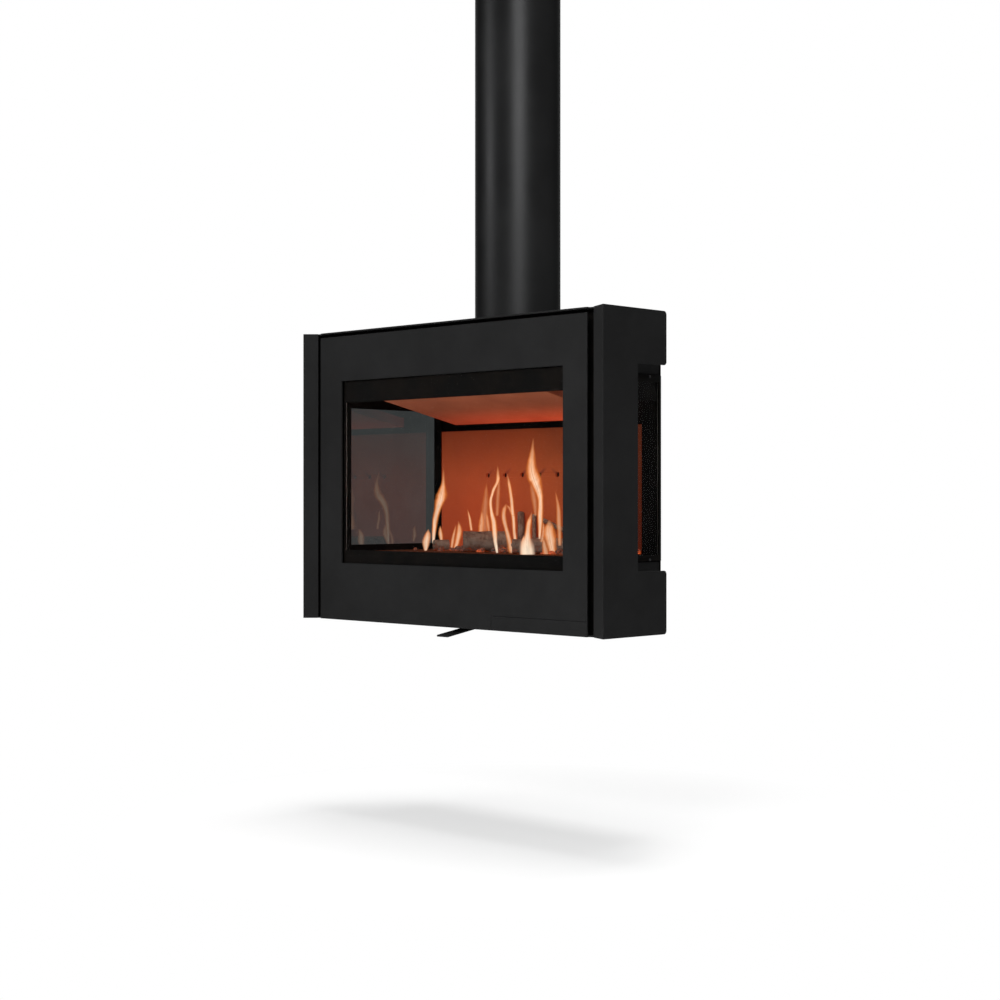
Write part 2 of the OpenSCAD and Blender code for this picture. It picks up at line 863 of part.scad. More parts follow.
// A shallow frame that holds the glass against its gasket: a flat face and three lips
module bezel(side) {
    color([0.05, 0.05, 0.05])
        hung()
            difference() {
                on_side(side)
                    difference() {
                        block([side_x, glass_front, firebox_z], [bezel_x + bezel_t, bezel_rear, firebox_top]);
                        block([side_x - past, glass_front - past, glass_low(side) - slip],
                            [bezel_x, glass_rear + slip, glass_high + slip]);
                        block([side_x, side_front, side_sill(side) - bezel_low_drop],
                            [bezel_x + bezel_t + past, side_rear, bezel_head]);
                    }
                bezel_screw_places()
                    screw_hole(m3, 14);
            }
}

module left_bezel() { bezel(-1); }
module right_bezel() { bezel(1); }

module bezel_screws() {
    color([0.15, 0.15, 0.15])
        hung()
            bezel_screw_places()
                screw(m3, 10);
}

module rear_lining() {
    color([0.35, 0.2, 0.14])
        hung()
            difference() {
                block([-chamber_x + slip, lining_y, hearth_z],
                    [chamber_x - slip, firebox_back - firebox_t, lining_top]);
                for (i = [0 : air_holes - 1])
                    translate([(i - (air_holes - 1) / 2) * air_hole_pitch, lining_y, hearth_z + air_hole_h])
                        rotate([90, 0, 0])
                            cylinder(d = air_hole_d, h = 2 * lining_t + 2 * past, center = true);
            }
}

module hearth_floor() {
    color([0.3, 0.22, 0.18])
        hung()
            difference() {
                block([-chamber_x + slip, mouth_y + firebox_t, floor_z],
                    [chamber_x - slip, firebox_back - firebox_t, hearth_z]);
                for (sx = [-1, 1])
                    translate([sx * air_box_w / 4, base_hole_y, floor_z - past])
                        cylinder(d = inlet_d, h = floor_t + 2 * past);
            }
}

rest_t = 2;
rest_w = 10;
// The baffle stops this far before the rear lining
baffle_rear = lining_y - 13;

// Side view of the baffle in (Y, Z): flat where it rests at the front and at the rear
module baffle_side() {
    front = mouth_y + firebox_t + slip;
    flat = baffle_rear - rest_w;
    polygon([[baffle_rear, baffle_rear_z], [flat, baffle_rear_z], [front + rest_w, baffle_front_z],
        [front, baffle_front_z], [front, baffle_front_z + baffle_t],
        [front + rest_w, baffle_front_z + baffle_t], [flat, baffle_rear_z + baffle_t],
        [baffle_rear, baffle_rear_z + baffle_t]]);
}

module baffle() {
    color([0.45, 0.25, 0.18])
        hung()
            along_x(-baffle_w / 2, baffle_w / 2)
                baffle_side();
}

// Angles that carry the baffle at the mouth and on the rear plate
module baffle_rests() {
    front = mouth_y + firebox_t;
    rear = firebox_back - firebox_t;
    color([0.06, 0.06, 0.06])
        hung() {
            block([-baffle_w / 2, front, baffle_front_z - rest_t],
                [baffle_w / 2, front + rest_w, baffle_front_z]);
            block([-baffle_w / 2, baffle_rear - rest_w, baffle_rear_z - rest_t],
                [baffle_w / 2, rear, baffle_rear_z]);
            block([-baffle_w / 2, rear - rest_t, lining_top],
                [baffle_w / 2, rear, baffle_rear_z - rest_t / 2]);
        }
}

post_w = 20;
post_t = 2;
left_post_d = 4;
right_post_d = 24;

// Angles that stand before the rear lining's ends, from the hearth up to the chamber's roof
module corner_posts() {
    outer = chamber_x - slip;
    rear = lining_y - slip;
    high = firebox_top - firebox_t;
    color([0.04, 0.04, 0.04])
        hung()
            for (side = [-1, 1])
                on_side(side) {
                    depth = side < 0 ? left_post_d : right_post_d;
                    block([outer - post_w, rear - post_t, hearth_z], [outer, rear, high]);
                    block([outer - post_w, rear - depth, hearth_z],
                        [outer - post_w + post_t, rear - post_t / 2, high]);
                }
}

// A log: a ten-sided stem that lies on a flat side, with a chamfered end. turn is about Z.
log_sides = 10;

module log_piece(r, length, turn) {
    rotate([0, 0, turn])
        rotate([0, 90, 0])
            rotate([0, 0, 180 / log_sides])
                translate([0, 0, -length / 2])
                    cylinder(r = r, h = length, $fn = log_sides);
}

log_flat = cos(180 / log_sides);
// The logs that lie on the hearth: place across, place along the depth, length, turn, radius
log_rows = [[-69, -35, 107, 44, 26.5], [-237, -20, 36, 60, 14], [120, -57, 120, 44, 18.5],
    [92, 20, 95, 0, 19], [-160, 28, 110, 160, 16]];
// The sticks that lean on the rear lining: place of the top across, height of the top over the
// hearth, rise, turn, radius
stick_rows = [[-51.5, 91, 62, 134, 9.5], [-12, 86, 62, 134, 5.5], [18.5, 73.5, 12.75, 163, 6]];

// A straight stick whose foot stands on the hearth and whose top touches the rear lining
module stick_piece(top_x, top_h, rise, turn, r) {
    reach_y = r * sqrt(1 - pow(cos(rise) * sin(turn), 2));
    foot_h = r * cos(rise) + slip;
    length = (top_h - foot_h) / sin(rise);
    translate([top_x, lining_y - slip - reach_y, hearth_z + top_h])
        rotate([0, 90 - rise, turn])
            translate([0, 0, -length])
                cylinder(r = r, h = length);
}

module logs() {
    color([0.2, 0.13, 0.09])
        hung() {
            for (log = log_rows)
                translate([log[0], log[1], hearth_z + log[4] * log_flat])
                    log_piece(log[4], log[2], log[3]);
            for (stick = stick_rows)
                stick_piece(stick[0], stick[1], stick[2], stick[3], stick[4]);
        }
}

// ---------------------------------------------------------------- hinges and catch

ear_t = 5;
knuckle_r = knuckle_d / 2;
pin_r = hinge_pin_d / 2;

module hinge_places() {
    for (z = [hinge_low_z, hinge_high_z])
        translate([hinge_x, 0, z])
            children();
}

module hinge_screw_places() {
    hinge_places()
        for (dz = [-1, 1])
            translate([12, frame_y - ear_t / 2 - 0.5, dz * 16 - ear_t / 2])
                rotate([90, 0, 0])
                    children();
}

hinge_leaf_t = ear_t / 2 + 0.5;

// A leaf on the front frame and an ear that reaches forward to the pin
module hinge_brackets() {
    color([0.06, 0.06, 0.06])
        hung()
            difference() {
                hinge_places() {
                    block([-knuckle_r, frame_y - hinge_leaf_t, -ear_t - 26], [22, frame_y, 22]);
                    block([-knuckle_r, hinge_y, -ear_t], [knuckle_r, frame_y - hinge_leaf_t / 2, 0]);
                    translate([0, hinge_y, -ear_t])
                        cylinder(r = knuckle_r, h = ear_t);
                }
                hinge_places()
                    translate([0, hinge_y, -ear_t - past])
                        cylinder(r = pin_r + run_fit, h = ear_t + 2 * past);
                hinge_screw_places()
                    screw_hole(m4, 12);
            }
}

// Pins with a head below the ear, standing up into the door's knuckles
module hinge_pins() {
    color([0.6, 0.6, 0.62])
        hung()
            hinge_places()
                translate([0, hinge_y, -ear_t]) {
                    cylinder(r = pin_r, h = ear_t + slip + knuckle_h * 0.8);
                    translate([0, 0, -3])
                        cylinder(r = pin_r + 2, h = 3);
                }
}

module hinge_screws() {
    color([0.15, 0.15, 0.15])
        hung()
            hinge_screw_places()
                screw(m4, 8);
}

catch_w = 16;
catch_h = 40;
catch_x = plate_right - 40;
strike_t = 5.5;

module catch_magnet() {
    color([0.3, 0.3, 0.31])
        hung()
            block([catch_x, plate_back + strike_t + slip, body_h / 2 - catch_h / 2],
                [catch_x + catch_w, frame_y, body_h / 2 + catch_h / 2]);
}

// ---------------------------------------------------------------- air supply, fixed

pivot = [0, -lever_pivot, 0];
inlet_turns = [90, 270];
bush_r = spindle_d / 2 + 4;
valve_z = air_box_z - slip;
valve_t = 2;

module inlet_holes(z, height) {
    for (turn = inlet_turns)
        rotate([0, 0, turn])
            translate([inlet_r, 0, z])
                cylinder(d = inlet_d, h = height);
}

// A tray under the firebox with two inlets that the valve plate covers
module air_box() {
    x = air_box_w / 2;
    rear = -lever_pivot + air_box_d / 2;
    front = -lever_pivot - air_box_d / 2;
    color([0.1, 0.1, 0.1])
        hung()
            difference() {
                block([-x, front, air_box_z], [x, rear, firebox_z]);
                block([-x + air_box_t, front + air_box_t, air_box_z + air_box_t],
                    [x - air_box_t, rear - air_box_t, firebox_z + past]);
                translate(pivot) {
                    translate([0, 0, air_box_z - past])
                        cylinder(r = spindle_neck_d / 2 + run_fit, h = air_box_t + 2 * past);
                    inlet_holes(air_box_z - past, air_box_t + 2 * past);
                }
            }
}

module spindle_bush() {
    color([0.6, 0.5, 0.3])
        hung()
            translate(pivot)
                difference() {
                    union() {
                        cylinder(r = bush_r, h = lid_t + 10);
                        translate([0, 0, lid_t])
                            cylinder(r = bush_r + 5, h = 3);
                    }
                    translate([0, 0, -past])
                        cylinder(r = spindle_d / 2 + run_fit, h = lid_t + 10 + 2 * past);
                }
}

// ---------------------------------------------------------------- door

pull_left = plate_right - pull_w;

module door_plate() {
    color([0.14, 0.14, 0.14])
        hung()
            difference() {
                block([plate_left, plate_y, 0], [plate_right, plate_back, plate_top]);
                block([window_left, plate_y - past, window_sill],
                    [window_right, plate_back + past, window_head]);
                block([pull_left - seam, plate_y - past, -past],
                    [plate_right + past, plate_back + past, pull_h + seam]);
            }
}

glass_x0 = window_left - door_glass_lap;
glass_x1 = window_right + door_glass_lap;
glass_z0 = window_sill - door_glass_lap;
glass_z1 = window_head + door_glass_lap;

module door_glass() {
    color([0.2, 0.2, 0.2, 0.3])
        hung()
            block([glass_x0, plate_back, glass_z0], [glass_x1, glass_back, glass_z1]);
}

module frame_screw_places() {
    x0 = glass_x0 - door_rim_w / 2 - slip / 2;
    x1 = glass_x1 + door_rim_w / 2 + slip / 2;
    mid = (x0 + x1) / 2;
    z0 = glass_z0 - door_rim_w / 2 - slip / 2;
    z1 = glass_z1 + door_rim_w / 2 + slip / 2;
    for (x = [x0, mid, x1], z = [z0, z1])
        translate([x, door_frame_back, z])
            rotate([-90, 0, 0])
                children();
}

// A tray that clamps the glass to the plate: a flat ring, a rim and two hinge knuckles
module door_frame() {
    color([0.05, 0.05, 0.05])
        hung()
            difference() {
                union() {
                    block([glass_x0 - door_rim_w, plate_back, glass_z0 - door_rim_w],
                        [glass_x1 + door_rim_w, door_frame_back, glass_z1 + door_rim_w]);
                    hinge_places() {
                        block([0, plate_back + 1, slip],
                            [glass_x0 - hinge_x - door_rim_w / 2, door_frame_back, knuckle_h]);
                        translate([0, hinge_y, slip])
                            cylinder(r = knuckle_r, h = knuckle_h - slip);
                    }
                }
                block([glass_x0 - slip, plate_back - past, glass_z0 - slip],
                    [glass_x1 + slip, glass_back, glass_z1 + slip]);
                block([-chamber_x - frame_left_lap, plate_back - past, mouth_sill],
                    [chamber_x + frame_right_lap, door_frame_back + past, mouth_head]);
                hinge_places()
                    translate([0, hinge_y, -past])
                        cylinder(r = pin_r + run_fit, h = knuckle_h + 2 * past);
                frame_screw_places()
                    screw_hole(m3, 10);
            }
}

module door_gasket() {
    x0 = chamber_x + gasket_inset;
    z0 = mouth_sill - gasket_inset;
    z1 = mouth_head + gasket_inset;
    color([0.2, 0.2, 0.2])
        hung()
            difference() {
                block([-x0 - gasket_w, door_frame_back, z0 - gasket_w],
                    [x0 + gasket_w, mouth_y - slip, z1 + gasket_w]);
                block([-x0, door_frame_back - past, z0], [x0, mouth_y + past, z1]);
            }
}

module door_frame_screws() {
    color([0.3, 0.3, 0.3])
        hung()
            frame_screw_places()
                screw(m3, glass_t + door_frame_t - slip);
}

module catch_strike() {
    color([0.6, 0.6, 0.62])
        hung()
            block([catch_x, plate_back, body_h / 2 - catch_h / 2],
                [catch_x + catch_w, plate_back + strike_t, body_h / 2 + catch_h / 2]);
}

pull_mid = pull_left + pull_w / 2;
rod_xs = [-pull_w * 0.3, pull_w * 0.3];
rod_z = pull_h / 2;
rod_r = rod_d / 2;
bracket_y = plate_back + 6;
bracket_t = 3;
clip_t = 2;

// A bridge on the plate's back that guides the pull's rods
module pull_bracket() {
    color([0.06, 0.06, 0.06])
        hung()
            difference() {
                union() {
                    block([pull_mid - pull_w * 0.42, bracket_y, 4],
                        [pull_mid + pull_w * 0.42, bracket_y + bracket_t, pull_h + 24]);
                    block([pull_mid - pull_w * 0.42, plate_back, pull_h + 6],
                        [pull_mid + pull_w * 0.42, bracket_y + bracket_t / 2, pull_h + 24]);
                }
                at([for (x = rod_xs) [pull_mid + x, bracket_y, rod_z]])
                    rotate([90, 0, 0])
                        cylinder(r = rod_r + run_fit, h = 6 * bracket_t, center = true);
            }
}

module door_pull() {
    color([0.14, 0.14, 0.14])
        hung()
            union() {
                block([pull_left, plate_y, 0], [plate_right, plate_back, pull_h]);
                for (x = rod_xs)
                    translate([pull_mid + x, plate_back - plate_t / 2, rod_z])
                        rotate([-90, 0, 0])
                            cylinder(r = rod_r,
                                h = plate_t / 2 + bracket_y - plate_back + bracket_t + pull_travel + clip_t);
            }
}

module rod_clips() {
    color([0.5, 0.5, 0.52])
        hung()
            for (x = rod_xs)
                translate([pull_mid + x, bracket_y + bracket_t + pull_travel + slip, rod_z])
                    rotate([-90, 0, 0])
                        difference() {
                            cylinder(r = rod_r + 3, h = clip_t - slip);
                            translate([0, 0, -past])
                                cylinder(r = rod_r, h = clip_t + 2 * past);
                        }
}

// ---------------------------------------------------------------- air control, turning

lever_top = -2;
lever_drop = (door_face + lever_lead - lever_bend) * tan(lever_slope);
neck_r = spindle_neck_d / 2;
spindle_r = spindle_d / 2;

// Side view of the lever in (Y, Z): level under the body, then sloping down to its tip
module lever_side() {
    tail = -lever_pivot + lever_w / 2;
    tip = -door_face - lever_lead;
    polygon([[tail, lever_top], [-lever_bend, lever_top], [tip, lever_top - lever_drop],
        [tip, lever_top - lever_drop - lever_t], [-lever_bend, lever_top - lever_t],
        [tail, lever_top - lever_t]]);
}

module air_lever() {
    color([0.1, 0.1, 0.1])
        hung()
            difference() {
                along_x(-lever_w / 2, lever_w / 2)
                    lever_side();
                translate(pivot)
                    cylinder(r = m6[0] + hole_fit, h = 40, center = true);
            }
}

module valve_spindle() {
    color([0.6, 0.6, 0.62])
        hung()
            translate(pivot)
                difference() {
                    union() {
                        translate([0, 0, lever_top])
                            cylinder(r = spindle_r, h = valve_z - valve_t - lever_top);
                        translate([0, 0, lever_top])
                            cylinder(r = neck_r, h = air_box_z + air_box_t + 4 - lever_top);
                    }
                    translate([0, 0, lever_top - past])
                        cylinder(r = m6[0] + hole_fit, h = 14 + past);
                }
}

module valve_plate() {
    color([0.3, 0.3, 0.31])
        hung()
            translate(pivot)
                difference() {
                    translate([0, 0, valve_z - valve_t])
                        cylinder(d = valve_d, h = valve_t);
                    translate([0, 0, valve_z - valve_t - past])
                        cylinder(r = neck_r + run_fit, h = valve_t + 2 * past);
                    inlet_holes(valve_z - valve_t - past, valve_t + 2 * past);
                }
}

module lever_screw() {
    color([0.5, 0.5, 0.52])
        hung()
            translate([pivot[0], pivot[1], lever_top - lever_t])
                mirror([0, 0, 1])
                    screw(m6, lever_t + 10);
}

module spindle_clip() {
    color([0.5, 0.5, 0.52])
        hung()
            translate([pivot[0], pivot[1], air_box_z + air_box_t + slip])
                difference() {
                    cylinder(r = neck_r + 4, h = 1.5);
                    translate([0, 0, -past])
                        cylinder(r = neck_r, h = 1.5 + 2 * past);
                }
}

ceiling_plate();
ceiling_rosette();
rosette_screws();
outer_pipe();
pipe_flange();
pipe_screws();
flue_liner();
flue_collar();
flange_bolts();
left_wing();
right_wing();
top_casing();
bottom_casing();
front_frame();
rear_shield();
rear_casing();
casing_screws();
firebox();
left_side_glass();
right_side_glass();
left_glass_gasket();
right_glass_gasket();
left_bezel();
right_bezel();
bezel_screws();
rear_lining();
hearth_floor();
baffle();
baffle_rests();
corner_posts();
logs();
hinge_brackets();
hinge_pins();
hinge_screws();
catch_magnet();
air_box();
spindle_bush();
door_plate();
door_frame();
door_glass();
door_gasket();
door_frame_screws();
catch_strike();
pull_bracket();
door_pull();
rod_clips();
air_lever();
valve_spindle();
valve_plate();
lever_screw();
spindle_clip();
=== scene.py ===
"""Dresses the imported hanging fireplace: painted steel, glass, rope, boards, wood and fire."""

import json
import math

import bmesh
import bpy
import numpy as np
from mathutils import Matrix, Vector

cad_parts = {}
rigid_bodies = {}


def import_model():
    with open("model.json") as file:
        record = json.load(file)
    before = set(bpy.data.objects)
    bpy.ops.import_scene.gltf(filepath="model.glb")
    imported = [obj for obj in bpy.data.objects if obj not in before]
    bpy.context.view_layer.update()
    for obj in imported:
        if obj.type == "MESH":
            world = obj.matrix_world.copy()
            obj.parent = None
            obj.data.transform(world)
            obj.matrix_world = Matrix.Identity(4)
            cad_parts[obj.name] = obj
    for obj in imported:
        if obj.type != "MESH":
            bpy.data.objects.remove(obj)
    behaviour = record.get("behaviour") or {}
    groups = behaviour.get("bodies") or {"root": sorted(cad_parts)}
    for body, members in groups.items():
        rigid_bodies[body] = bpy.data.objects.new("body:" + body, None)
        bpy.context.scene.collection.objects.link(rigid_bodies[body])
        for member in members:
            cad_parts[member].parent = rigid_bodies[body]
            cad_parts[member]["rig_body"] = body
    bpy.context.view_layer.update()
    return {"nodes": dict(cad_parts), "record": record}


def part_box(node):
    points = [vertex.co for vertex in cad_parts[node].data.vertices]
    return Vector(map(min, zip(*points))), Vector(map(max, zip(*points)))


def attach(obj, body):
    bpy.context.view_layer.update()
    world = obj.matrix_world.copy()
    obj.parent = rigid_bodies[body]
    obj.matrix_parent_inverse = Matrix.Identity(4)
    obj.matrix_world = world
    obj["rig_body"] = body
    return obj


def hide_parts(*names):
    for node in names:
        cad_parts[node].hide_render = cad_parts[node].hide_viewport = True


bl_info = {
    "name": "Hanging Fireplace Dress",
    "version": (1, 0, 0),
    "blender": (4, 5, 0),
    "location": "3D View > Sidebar > Fireplace",
    "description": "Surfaces, fire and setting for the packed hanging fireplace",
    "category": "Object",
}

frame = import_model()
NODE_SLOT = {part["node"]: part["material_slot"] for part in frame["record"]["subparts"]}

# The body's lower edge lies this far under the ceiling, which is the frame's zero height
BODY_DROP = 1.540
HEARTH_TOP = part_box("hearth_floor")[1].z
# Air holes of the rear lining: their height and pitch, and the middle of the fire across it
AIR_HOLES_Z = HEARTH_TOP + 0.181
AIR_PITCH = 0.057
FIRE_MIDDLE_X = 0.030


# ---------------------------------------------------------------- sizes and colours

class SteelSettings(bpy.types.PropertyGroup):
    """Painted sheet, pipe and plain metal."""
    paint: bpy.props.FloatVectorProperty(
        name="Body paint", description="Matt black of the body's sheets", subtype="COLOR",
        size=3, min=0.0, max=1.0, default=(0.0172, 0.0173, 0.0175))
    pipe_paint: bpy.props.FloatVectorProperty(
        name="Pipe paint", description="Matt black of the flue pipe", subtype="COLOR",
        size=3, min=0.0, max=1.0, default=(0.0128, 0.0129, 0.0131))
    chamber_paint: bpy.props.FloatVectorProperty(
        name="Chamber paint", description="Sooty black of the fire chamber's steel",
        subtype="COLOR", size=3, min=0.0, max=1.0, default=(0.0022, 0.0021, 0.0020))
    edge: bpy.props.FloatProperty(
        name="Sheet edge", description="Rounding of a cut sheet edge", unit="LENGTH",
        min=0.0002, max=0.0014, default=0.0009)
    fold: bpy.props.FloatProperty(
        name="Wing fold", description="Outer radius of the wings' front fold", unit="LENGTH",
        min=0.001, max=0.006, default=0.0042)
    pipe_turns: bpy.props.IntProperty(
        name="Pipe divisions", description="Flat strips round the pipe", min=48, max=256,
        default=160)


class ChamberSettings(bpy.types.PropertyGroup):
    """Boards, wood, embers and glass of the chamber."""
    board: bpy.props.FloatVectorProperty(
        name="Board", description="Fired colour of the lining boards", subtype="COLOR",
        size=3, min=0.0, max=1.0, default=(0.27, 0.082, 0.03))
    # Painted firelight: strength of the lining boards' red glow, which stands in for the fire's
    # light on them
    board_firelight_glow: bpy.props.FloatProperty(
        name="Board glow", description="Strength of the boards' own red glow", min=0.0, max=5.0,
        default=0.2)
    char: bpy.props.FloatVectorProperty(
        name="Charred wood", description="Colour of burnt bark", subtype="COLOR",
        size=3, min=0.0, max=1.0, default=(0.165, 0.104, 0.078))
    ember_count: bpy.props.IntProperty(
        name="Embers", description="Lumps of charcoal on the hearth", min=20, max=600,
        default=230)
    ember_size: bpy.props.FloatProperty(
        name="Ember size", description="Mean radius of a lump", unit="LENGTH",
        min=0.003, max=0.02, default=0.0075)
    # Painted light: strength of an even grey glow on the smoked left pane
    side_painted_grey: bpy.props.FloatProperty(
        name="Side glass tone", description="Even grey of the smoked left pane",
        subtype="FACTOR", min=0.0, max=1.0, default=0.042)


class FireSettings(bpy.types.PropertyGroup):
    """Flames and their light."""
    flame_glow: bpy.props.FloatProperty(
        name="Flame glow", description="Strength of the flames' own light", min=0.0, max=10.0,
        default=1.05)
    fire_power: bpy.props.FloatProperty(
        name="Fire light", description="Power of each lamp in the fire", unit="POWER",
        min=0.0, max=20.0, default=0.12)
    fire_colour: bpy.props.FloatVectorProperty(
        name="Fire colour", description="Colour of the fire's light", subtype="COLOR",
        size=3, min=0.0, max=1.0, default=(1.0, 0.28, 0.03))


class StageSettings(bpy.types.PropertyGroup):
    """Camera, floor and lights."""
    lens: bpy.props.FloatProperty(
        name="Lens", description="Focal length in millimetres", min=20.0, max=200.0, default=64.4)
    camera_place: bpy.props.FloatVectorProperty(
        name="Camera place", description="Where the camera stands", subtype="TRANSLATION",
        size=3, default=(2.881, -3.001, -1.2554))
    camera_turn: bpy.props.FloatProperty(
        name="Camera turn", description="Turn of the level camera about the upright",
        subtype="ANGLE", default=math.radians(44.4))
    floor_drop: bpy.props.FloatProperty(
        name="Floor drop", description="Distance from the body's lower edge to the floor",
        unit="LENGTH", min=0.1, max=2.0, default=0.466)
    daylight: bpy.props.FloatProperty(
        name="Room light", description="Even light from all round", min=0.0, max=2.0, default=0.25)


SETTINGS = {"steel": SteelSettings, "chamber": ChamberSettings, "fire": FireSettings,
            "setting": StageSettings}


def settings(name):
    """The scene's group of settings of that name."""
    return getattr(bpy.context.scene, "fireplace_" + name)


# ---------------------------------------------------------------- surfaces on grids

def grid_quads(rows, cols, start):
    """Corner numbers of the quads of a grid stored row by row from number start: (row, col),
    (row, col + 1), (row + 1, col + 1), (row + 1, col)."""
    r, c = np.meshgrid(np.arange(rows - 1), np.arange(cols - 1), indexing="ij")
    a = start + r * cols + c
    return np.stack([a, a + 1, a + cols + 1, a + cols], axis=-1).reshape(-1, 4)


def join_grids(grids):
    """Several grids (points[rows, cols, 3], uv[rows, cols, 2]) as one list of points, quads, uv."""
    points, quads, uvs, start = [], [], [], 0
    for place, uv in grids:
        rows, cols = place.shape[:2]
        points.append(place.reshape(-1, 3))
        uvs.append(uv.reshape(-1, 2))
        quads.append(grid_quads(rows, cols, start))
        start += rows * cols
    return np.concatenate(points), np.concatenate(quads), np.concatenate(uvs)


def unit_uv(rows, cols):
    """Column share first, row share second, both from 0 to 1."""
    v, u = np.meshgrid(np.linspace(0, 1, rows), np.linspace(0, 1, cols), indexing="ij")
    return np.stack([u, v], axis=-1)


def merge_corners(mesh, reach, turn_outwards=False):
    """Joins the corners of a mesh that lie within reach of each other."""
    work = bmesh.new()
    work.from_mesh(mesh)
    bmesh.ops.remove_doubles(work, verts=work.verts, dist=reach)
    if turn_outwards:
        bmesh.ops.recalc_face_normals(work, faces=work.faces)
    work.to_mesh(mesh)
    work.free()


def mesh_from(name, grids, closed=True):
    """One smooth mesh of grids with their UV. A closed one has its seams and poles joined and
    its faces turned outwards."""
    points, quads, uv = join_grids(grids)
    mesh = bpy.data.meshes.new(name)
    mesh.from_pydata(points.tolist(), [], quads.tolist())
    layer = mesh.uv_layers.new(name="UVMap")
    layer.data.foreach_set("uv", uv[quads.ravel()].astype(np.float32).ravel())
    if closed:
        merge_corners(mesh, 2e-6, turn_outwards=True)
    mesh.shade_smooth()
    return mesh


def placed(name, data, place=(0, 0, 0)):
    """A new object in the scene."""
    obj = bpy.data.objects.new(name, data)
    obj.location = place
    bpy.context.scene.collection.objects.link(obj)
    return obj


def piece_from(name, grids, body, finish, closed=True, crease=None):
    """A piece made of grids on its body, with its finish; past crease degrees, edges are sharp."""
    mesh = mesh_from(name, grids, closed)
    if crease:
        mesh.set_sharp_from_angle(angle=math.radians(crease))
    mesh.materials.append(finish)
    obj = placed(name, mesh)
    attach(obj, body)
    return obj


def replace_node(name, new_name, grids, crease=None):
    """A piece made of grids in place of a CAD node, on that node's body and with the finish of that
    node's slot.
    """
    slot = NODE_SLOT[name]
    piece = piece_from(new_name, grids, frame["nodes"][name]["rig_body"], FINISHES[slot],
                       crease=crease)
    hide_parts(name)


def mesh_points(mesh):
    """Corners of a mesh as an array[n, 3]."""
    points = np.empty(len(mesh.vertices) * 3)
    mesh.vertices.foreach_get("co", points)
    return points.reshape(-1, 3)


def waves(seed, count, low, high, *axes):
    """A sum of count sine waves over the given coordinate arrays, with random directions,
    pitches from low to high (turns per unit) and phases, divided by the root of count."""
    rng = np.random.default_rng(seed)
    total = np.zeros(np.broadcast_shapes(*[np.shape(a) for a in axes]))
    for _ in range(count):
        way = rng.normal(size=len(axes))
        way *= rng.uniform(low, high) / np.linalg.norm(way)
        total = total + np.sin(2 * math.pi * sum(w * a for w, a in zip(way, axes))
                               + rng.uniform(0, 2 * math.pi))
    return total / math.sqrt(count)


# ---------------------------------------------------------------- shader nodes

# Sockets of a Mix node that blends colours: the share, both colours, and the result
MIX_SHARE, MIX_FIRST, MIX_SECOND, MIX_RESULT = 0, 6, 7, 2
SHADER_SOCKETS = {"colour": "Base Color", "roughness": "Roughness", "metallic": "Metallic",
                  "specular": "Specular IOR Level", "tint": "Specular Tint", "gloss": "IOR",
                  "alpha": "Alpha", "glow": "Emission Strength", "glow_colour": "Emission Color",
                  "normal": "Normal"}


class Level:
    """A value that nodes give at each point; arithmetic with it adds Math nodes."""

    def __init__(self, nodes, socket):
        self.nodes, self.socket = nodes, socket

    def math(self, way, *others):
        """This value through a Math node, or with several others through one node for each."""
        result = self
        for other in others or (0.0,):
            result = self.nodes.level("Math", "Value", {0: result, 1: other}, operation=way)
        return result

    def __add__(self, other):
        return self.math("ADD", other)

    def __sub__(self, other):
        return self.math("SUBTRACT", other)

    def __rsub__(self, other):
        return self.nodes.level("Math", "Value", {0: other, 1: self}, operation="SUBTRACT")

    def __mul__(self, other):
        return self.math("MULTIPLY", other)

    def __abs__(self):
        return self.math("ABSOLUTE")

    def span(self, low, high, to_low=0.0, to_high=1.0, way="LINEAR"):
        """Maps low..high to to_low..to_high, held at the ends."""
        return self.nodes.level("MapRange", "Result", {
            "Value": self, "From Min": low, "From Max": high, "To Min": to_low,
            "To Max": to_high}, interpolation_type=way)


